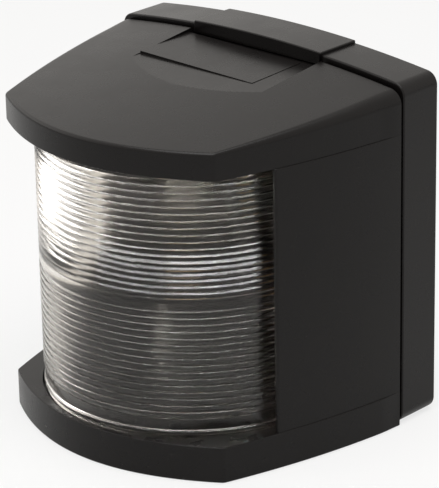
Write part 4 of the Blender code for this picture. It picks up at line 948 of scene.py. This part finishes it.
def bayonetCup():
    # the cup's profile runs from its roof down the outside and up the inside
    r, inside, low, high, roof = sizesOf(holder, "radius inside low high roof")
    profile = np.concatenate([[(0, high)], np.array(holder["edge"]) + [r, high],
                              np.array(holder["rim"]) + [r, low], np.array(holder["lip"]) + [inside, low],
                              [(inside, roof), (0, roof)]])
    piece = turned("bayonet_cup", profile, (0, lensAxis))
    # each pin comes in from below through an entry and turns into a pocket
    room, turn, pin = sizesOf(holder, "pinRoom turn pinHeight")
    for sign in (-1, 1):
        near, far = sorted((sign * (inside - past), sign * (r + past)))
        ends = sorted((lensAxis + sign * room, lensAxis - sign * (turn + room)))
        entry = sorted((lensAxis - sign * (turn - room), lensAxis - sign * (turn + room)))
        pocket = blockOf("pocket", (near, ends[0], pin - room), (far, ends[1], pin + holder["press"] + room),
                         "x", holder["pocketCorner"])
        opening = blockOf("entry", (near, entry[0], low - past), (far, entry[1], pin + holder["entryLap"]),
                          "x", holder["entryCorner"])
        wireWay = holeAt(holder["wireHole"], roof - past / 2, high + past / 2,
                         (sign * holder["wireHalf"], lensAxis))
        combine(piece, "DIFFERENCE", pocket, opening, wireWay)
    return piece


def makeHolder():
    place = (0, lensAxis)
    dress(bayonetCup(), "base", "nickelled_brass", nickelledBrass, "lamp_socket")
    disc = discOf("insulating_disc", *holder["insulator"], place)
    dress(disc, "base", "phenolic_resin", phenolicResin, "socket_insulator")
    carrier = discOf("sprung_carrier", *holder["carrier"], place)
    low, high = holder["carrier"][1:3]
    for side, sign in bothSides:
        centre = (sign * holder["wireHalf"], lensAxis)
        combine(carrier, "DIFFERENCE", holeAt(holder["contactHole"], low - past, high + past, centre))
        contact = turned(side + "_contact", holder["contact"], centre, steps=48)
        dress(contact, "contacts", "brass", drawnBrass, "contact_pin_" + side)
    dress(carrier, "contacts", "phenolic_resin", phenolicResin, "contact_carrier")
    # a helix: x = R cos a, d = R sin a, z rising evenly
    radius, wire, turns = sizesOf(holder, "spring springWire springTurns")
    low, high = holder["springLow"], holder["springHigh"]
    a = np.linspace(0, 2 * np.pi * turns, 40 * turns)
    path = np.stack([radius * np.cos(a), lensAxis + radius * np.sin(a),
                     np.linspace(low + wire, high - wire, len(a))], 1)
    spring = tube("contact_coil", path, wire, 12)
    dress(spring, "base", "spring_steel", springSteel, "contact_spring")
    toFrame(0, lensAxis, high).tolist()
    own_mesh(spring)


# lamp

lamp = {
    "cap": 7.5, "bore": 7.0, "capTop": 73.3, "capLow": 58.3,
    # a pressed tube: its edge and a groove, from (cap, capTop), and a rolled rim, from (cap, capLow)
    "capEdge": [(-0.25, 0), (0, -0.25), (0, -2.9), (-0.12, -3.1), (-0.12, -3.5), (0, -3.7)],
    "capRim": [(0, 0.3), (-0.1, 0.08), (-0.25, 0)],
    "pinHeight": 66.8, "pin": 1.0, "pinReach": 8.7, "pinRoot": 0.1,
    "pinTip": [(-0.4, 1), (-0.2, 0.94), (-0.07, 0.78), (0, 0.5)],       # from the end, share of the radius
    "base": (6.7, 70.7, 73.3, 0.3), "contactHalf": 3.4,                 # radius, low, high, ease
    "contact": [(0, 73.6), (1.6, 73.6), (1.58, 73.85), (1.45, 74.25), (1.2, 74.55), (0.8, 74.74), (0, 74.8)],
    "glass": 9.5, "glassWall": 0.7, "neck": 6.7, "neckTop": 70.4, "neckDrop": 3.2, "join": 19, "middle": 47.8,
    "stem": [(0, 70.4), (4.0, 70.4), (4.0, 69.8), (3.3, 68.5), (2.6, 66.5), (2.4, 64.5), (2.8, 62.5),
             (3.5, 61.2), (3.9, 60.5), (3.85, 60.1), (3.6, 59.9), (0, 59.9)],
    "leadHalf": 3.35, "lead": 0.35, "leadTop": 59.6, "leadLow": 47.0,
    "coil": 0.8, "coilLength": 5.4, "coilTurns": 5, "coilWire": 0.16,
}


def bulbSide(radius, neck):
    # from the neck's end a quadratic curve runs into the sphere, `join` degrees below where they would cross
    corner = np.array([neck, lamp["middle"] + np.sqrt(radius ** 2 - neck ** 2)])
    start = corner + [0, lamp["neckDrop"]]
    a = np.arcsin((corner[1] - lamp["middle"]) / radius) - np.radians(lamp["join"])
    sphere = arc((0, lamp["middle"]), radius, np.degrees(a), -90, 44)
    sphere[-1, 0] = 0
    u = np.linspace(0, 1, 12)[:-1, None]
    return np.concatenate([[(neck, lamp["neckTop"])], bent(u, start, corner, sphere[0]), sphere])


def makeLamp():
    # all about the lens axis: cap and pins, solder, lead-in wires, glass and filament
    r, bore, top, low, place = lamp["cap"], lamp["bore"], lamp["capTop"], lamp["capLow"], (0, lensAxis)
    profile = np.concatenate([np.array(lamp["capEdge"]) + [r, top], np.array(lamp["capRim"]) + [r, low],
                              [(bore, low), (bore, top)]])
    cap = turned("bayonet_cap", profile, place, closed=True)
    tip, share = np.array(lamp["pinTip"]).T
    for side, sign in bothSides:
        reach = sign * np.array([bore + lamp["pinRoot"], *(lamp["pinReach"] + tip)])
        path = np.stack(np.broadcast_arrays(reach, lensAxis, lamp["pinHeight"]), 1)
        combine(cap, "UNION", tube("pin", path, lamp["pin"] * np.array([1, *share]), 32))
        solder = turned(side + "_solder", lamp["contact"], (sign * lamp["contactHalf"], lensAxis), steps=48)
        dress(solder, "lamp", "solder", tinSolder, "lamp_contact_" + side)
        z = np.linspace(lamp["leadTop"], lamp["leadLow"], 12)
        path = np.stack(np.broadcast_arrays(sign * lamp["leadHalf"], lensAxis, z), 1)
        lead = tube(side + "_lead_in", path, lamp["lead"], 16, (1, 0, 0))
        dress(lead, "lamp", "tungsten", tungsten, "lead_in_wire_" + side)
    dress(cap, "lamp", "brass", drawnBrass, "lamp_cap")
    filling = discOf("cap_filling", *lamp["base"], place)
    dress(filling, "lamp", "phenolic_resin", phenolicResin, "lamp_base")
    wall = lamp["glassWall"]
    outer = bulbSide(lamp["glass"], lamp["neck"])
    inner = bulbSide(lamp["glass"] - wall, lamp["neck"] - wall)
    bulb = turned("blown_bulb", np.concatenate([outer, inner[::-1]]), place, closed=True)
    dress(bulb, "lamp", "lamp_glass", sodaGlass, "lamp_bulb")
    dress(turned("glass_stem", lamp["stem"], place, steps=64), "lamp", "lamp_glass", sodaGlass, "lamp_stem")
    # the filament's coil lies across: d = R cos a, z = R sin a
    a = np.linspace(0, 2 * np.pi * lamp["coilTurns"], 28 * lamp["coilTurns"])
    half = lamp["coilLength"] / 2
    path = np.stack([np.linspace(-half, half, len(a)), lensAxis + lamp["coil"] * np.cos(a),
                     lamp["middle"] + lamp["coil"] * np.sin(a)], 1)
    coil = tube("filament_coil", path, lamp["coilWire"], 10, (1, 0, 0))
    dress(coil, "lamp", "tungsten", tungsten, "filament")


# wiring

wiring = {
    "half": 11.0, "back": 3.3, "front": 12.0, "low": 38.0, "high": 52.0, "middle": 45.0, "corner": 1.2,
    "ease": 0.4, "hole": 1.7, "holeEnd": 8.55, "way": 1.2, "wireBack": 7.65, "spacing": 6.0,
    "groove": 3.0, "grooveHalf": 0.25, "grooveDepth": 0.6, "grooveCorner": 0.1,
    "wire": 0.9, "bend": 2.3, "shelf": 86.3, "plate": 11.3, "height": 88.6, "over": 3.4, "end": 83.3,
    "leads": {"negative": (-1, "wire_black", blackPvc), "positive": (1, "wire_red", redPvc)},
}


def smoothPath(route, perSpan):
    # a curve through the route's points (Catmull-Rom)
    p = np.array([2 * route[0] - route[1], *route, 2 * route[-1] - route[-2]])
    a, b, c, d = p[:-3, None], p[1:-2, None], p[2:-1, None], p[3:, None]
    t = np.linspace(0, 1, perSpan, endpoint=False)[None, :, None]
    curve = 0.5 * (2 * b + (c - a) * t + (2 * a - 5 * b + 4 * c - d) * t ** 2
                   + (3 * b - a - 3 * c + d) * t ** 3)
    return np.concatenate([curve.reshape(-1, 3), p[-2:-1]])


def makeWiring():
    # a block with a way for each wire, and the wires up behind the plate and over to the socket
    middle, low, high, front = sizesOf(wiring, "middle low high front")
    piece = blockOf("terminal_strip", (-wiring["half"], wiring["back"], low), (wiring["half"], front, high),
                    "d", wiring["corner"], wiring["ease"])
    hole, narrow = wiring["hole"], wiring["grooveHalf"]
    combine(piece, "DIFFERENCE", holeAt(hole, wiring["back"] - past, front + past, (0, middle), "d"))
    back, bend, shelf, plate, top = sizesOf(wiring, "wireBack bend shelf plate height")
    for name, (sign, slot, finish) in wiring["leads"].items():
        x, over, edge = sign * wiring["spacing"], sign * wiring["over"], sign * wiring["groove"]
        groove = blockOf("groove", (edge - narrow, front - wiring["grooveDepth"], low - past),
                         (edge + narrow, front + past, high + past), "z", wiring["grooveCorner"], apart)
        combine(piece, "DIFFERENCE", holeAt(hole, wiring["holeEnd"], front + past, (x, middle), "d"),
                holeAt(wiring["way"], low - past, high + past, (x, back)), groove)
        route = np.array([(x, back, middle), (x, back, high), (x, back, (middle + shelf) / 2),
                          (x, back, shelf - bend), (x, plate - bend, top - bend / 4), (x, plate + bend, top),
                          ((x + over) / 2, (plate + lensAxis) / 2, top),
                          (over, lensAxis - bend, top - bend / 6), (over, lensAxis, shelf + bend / 6),
                          (over, lensAxis, wiring["end"])])
        lead = tube(name + "_wire", smoothPath(route, 14), wiring["wire"], 20, (1, 0, 0))
        dress(lead, "base", slot, finish, "lead_" + name)
    dress(piece, "base", "nylon", polyamide, "terminal_block")


makeSeals()
makeBars()
makeInlet()
makePanHeads()
makeFixing()
makeBracket()
makeHolder()
makeLamp()
makeWiring()
print("inside pieces made")


# the place it stands in

view = {
    "azimuth": 43.17, "elevation": 21.7, "roll": -1.11, "distance": 787.6, "focal": 209.71, "sensor": 36.0,
    "across": 4.09, "up": 0.865, "target": (0.0, 6.15, 46.5), "nearest": 0.01,
}


def directionTo(azimuth, elevation):
    # (sin a cos e, -cos a cos e, sin e): azimuths turn right from straight ahead of the light
    a, e = np.radians([azimuth, elevation])
    return np.array([np.sin(a) * np.cos(e), -np.cos(a) * np.cos(e), np.sin(e)])


def placeAt(thing, right, up, back, place):
    # three axes and a place, as the columns of its matrix
    turn = np.eye(4)
    turn[:3] = np.stack([right, up, back, place], 1)
    thing.matrix_world = Matrix(turn.tolist())


def placeCamera():
    # looks at the target from the azimuth and elevation, turned by the roll and slid across the picture
    back = directionTo(view["azimuth"], view["elevation"])
    level = np.cross([0, 0, 1], back)
    level /= np.linalg.norm(level)
    upright = np.cross(back, level)
    roll = np.radians(view["roll"])
    right = np.cos(roll) * level + np.sin(roll) * upright
    up = -np.sin(roll) * level + np.cos(roll) * upright
    place = np.array(view["target"]) + view["across"] * right + view["up"] * up + view["distance"] * back
    data = bpy.data.cameras.new("camera")
    data.lens = view["focal"]
    data.sensor_width = view["sensor"]
    data.clip_start = view["nearest"]
    camera = objectOf("camera", data)
    placeAt(camera, right, up, back, place * mm)
    bpy.context.scene.camera = camera


def seenDirectly(tree, mirroredShare=1.0):
    # 1 for the camera's own rays, and a share for those mirrored or let through on the way
    path = addNode(tree, "ShaderNodeLightPath", {}, {}).outputs
    onTheWay = addNode(tree, "ShaderNodeMath", {"operation": "MAXIMUM"},
                       {0: path["Is Glossy Ray"], 1: path["Is Transmission Ray"]})
    shared = addNode(tree, "ShaderNodeMath", {"operation": "MULTIPLY"},
                     {0: onTheWay.outputs[0], 1: mirroredShare})
    return addNode(tree, "ShaderNodeMath", {"operation": "MAXIMUM"},
                   {0: path["Is Camera Ray"], 1: shared.outputs[0]}).outputs[0]


paper = {
    "reach": 8.0, "level": -0.0002,                 # metres
    "white": 0.75, "mirroredWhite": 0.45,           # share of plain white, and how much of it mirrors see
}


def makeFloor():
    reach, z = paper["reach"], paper["level"]
    mesh = bpy.data.meshes.new("floor")
    mesh.from_pydata([(-reach, -reach, z), (reach, -reach, z), (reach, reach, z), (-reach, reach, z)], [],
                     [(0, 1, 2, 3)])
    floor = objectOf("floor", mesh)
    made, tree, shader = newFinish("pale_paper", {"Base Color": linearOf("efeeec"), "Roughness": 0.9,
                                                  "Specular IOR Level": 0.1})
    # near white to the camera, but keeping part of the shadow
    shown = seenDirectly(tree, paper["mirroredWhite"])
    glow = addNode(tree, "ShaderNodeEmission", {}, {"Color": (1, 1, 1, 1), "Strength": 1.0})
    share = addNode(tree, "ShaderNodeMath", {"operation": "MULTIPLY"}, {0: shown, 1: paper["white"]})
    blend = addNode(tree, "ShaderNodeMixShader", {}, {0: share.outputs[0], 1: shader.outputs[0],
                                                      2: glow.outputs[0]})
    tree.links.new(blend.outputs[0], tree.nodes["Material Output"].inputs["Surface"])
    mesh.materials.append(made)


studio = {
    "ambient": 0.35, "backdrop": 1.0, "tint": (1.0, 0.97, 0.93, 1.0),
    "azimuth": -68, "elevation": 24, "strength": 1.3, "spread": 12.0,   # the window
    "windowLow": (0.14, 0.26),                      # its lower edge, as heights of a direction of length 1
}


def makeWorld():
    # a white backdrop and a window on the left, both seen in reflections. With c the cosine of the angle
    # between a direction and the window, it adds strength * ((1 + c) / 2)^spread, less below its lower edge
    world = bpy.data.worlds.new("studio")
    bpy.context.scene.world = world
    world.use_nodes = True
    tree = world.node_tree
    tree.nodes.clear()
    toward = addNode(tree, "ShaderNodeTexCoord", {}, {}).outputs["Generated"]
    z = addNode(tree, "ShaderNodeSeparateXYZ", {}, {"Vector": toward}).outputs["Z"]
    angle = addNode(tree, "ShaderNodeVectorMath", {"operation": "DOT_PRODUCT"},
                    {0: toward, 1: directionTo(studio["azimuth"], studio["elevation"])})
    near = addNode(tree, "ShaderNodeMapRange", {}, {"Value": angle.outputs["Value"], "From Min": -1.0})
    window = addNode(tree, "ShaderNodeMath", {"operation": "POWER"},
                     {0: near.outputs[0], 1: studio["spread"]})
    low, high = studio["windowLow"]
    edge = addNode(tree, "ShaderNodeMapRange", {"interpolation_type": "SMOOTHSTEP"},
                   {"Value": z, "From Min": low, "From Max": high, "To Max": studio["strength"]})
    total = addNode(tree, "ShaderNodeMath", {"operation": "MULTIPLY_ADD"},
                    {0: window.outputs[0], 1: edge.outputs[0], 2: studio["backdrop"]}).outputs[0]
    room = addNode(tree, "ShaderNodeMapRange", {}, {"Value": seenDirectly(tree), "To Min": studio["ambient"],
                                                    "To Max": total})
    white = addNode(tree, "ShaderNodeBackground", {}, {"Color": studio["tint"], "Strength": room.outputs[0]})
    addNode(tree, "ShaderNodeOutputWorld", {}, {"Surface": white.outputs[0]})


lamps = {
    # azimuth, elevation, distance m, width m, height m, radiance
    "top softbox": (43, 78, 1.0, 0.9, 0.9, 3.93),
    "lens window": (-84, 24, 2.5, 2.0, 1.5, 3.0),
}
strips = {
    "elevation": 18.4, "distance": 2.5, "wide": 30, "tall": 13.8,                   # degrees, metres
    "radiance": {-45: 4.0, -15: 13.5, 15: 16.0, 45: 26.0, 75: 19.5, 105: 5.0},      # by azimuth
}
lampTarget = np.array([0, 0, 0.05])


def placeLamp(name, azimuth, elevation, distance, wide, tall, radiance, receivers=None):
    # power = radiance * pi * area. Receivers, where given, are all that the lamp lights
    data = bpy.data.lights.new(name, "AREA")
    data.shape = "RECTANGLE"
    data.size, data.size_y = wide, tall
    data.energy = radiance * np.pi * wide * tall
    lampObject = objectOf(name, data)
    back = directionTo(azimuth, elevation)
    right = np.array([np.cos(np.radians(azimuth)), np.sin(np.radians(azimuth)), 0])
    placeAt(lampObject, right, np.cross(back, right), back, back * distance + lampTarget)
    if receivers:
        lampObject.light_linking.receiver_collection = receivers


def makeLamps():
    # a bank of strips in front and a window on the left draw the lines on the lens, and light nothing else
    lensOnly = bpy.data.collections.new("lens only")
    lensOnly.objects.link(ribbedLens)
    for name, settings in lamps.items():
        placeLamp(name, *settings, lensOnly if name.startswith("lens") else None)
    distance = strips["distance"]
    wide, tall = [2 * distance * np.tan(np.radians(strips[key] / 2)) for key in ("wide", "tall")]
    for azimuth, radiance in strips["radiance"].items():
        placeLamp("lens strip", azimuth, strips["elevation"], distance, wide, tall, radiance, lensOnly)


placeCamera()
makeFloor()
makeWorld()
makeLamps()
bpy.context.scene.view_settings.view_transform = "Standard"
print("stage set")
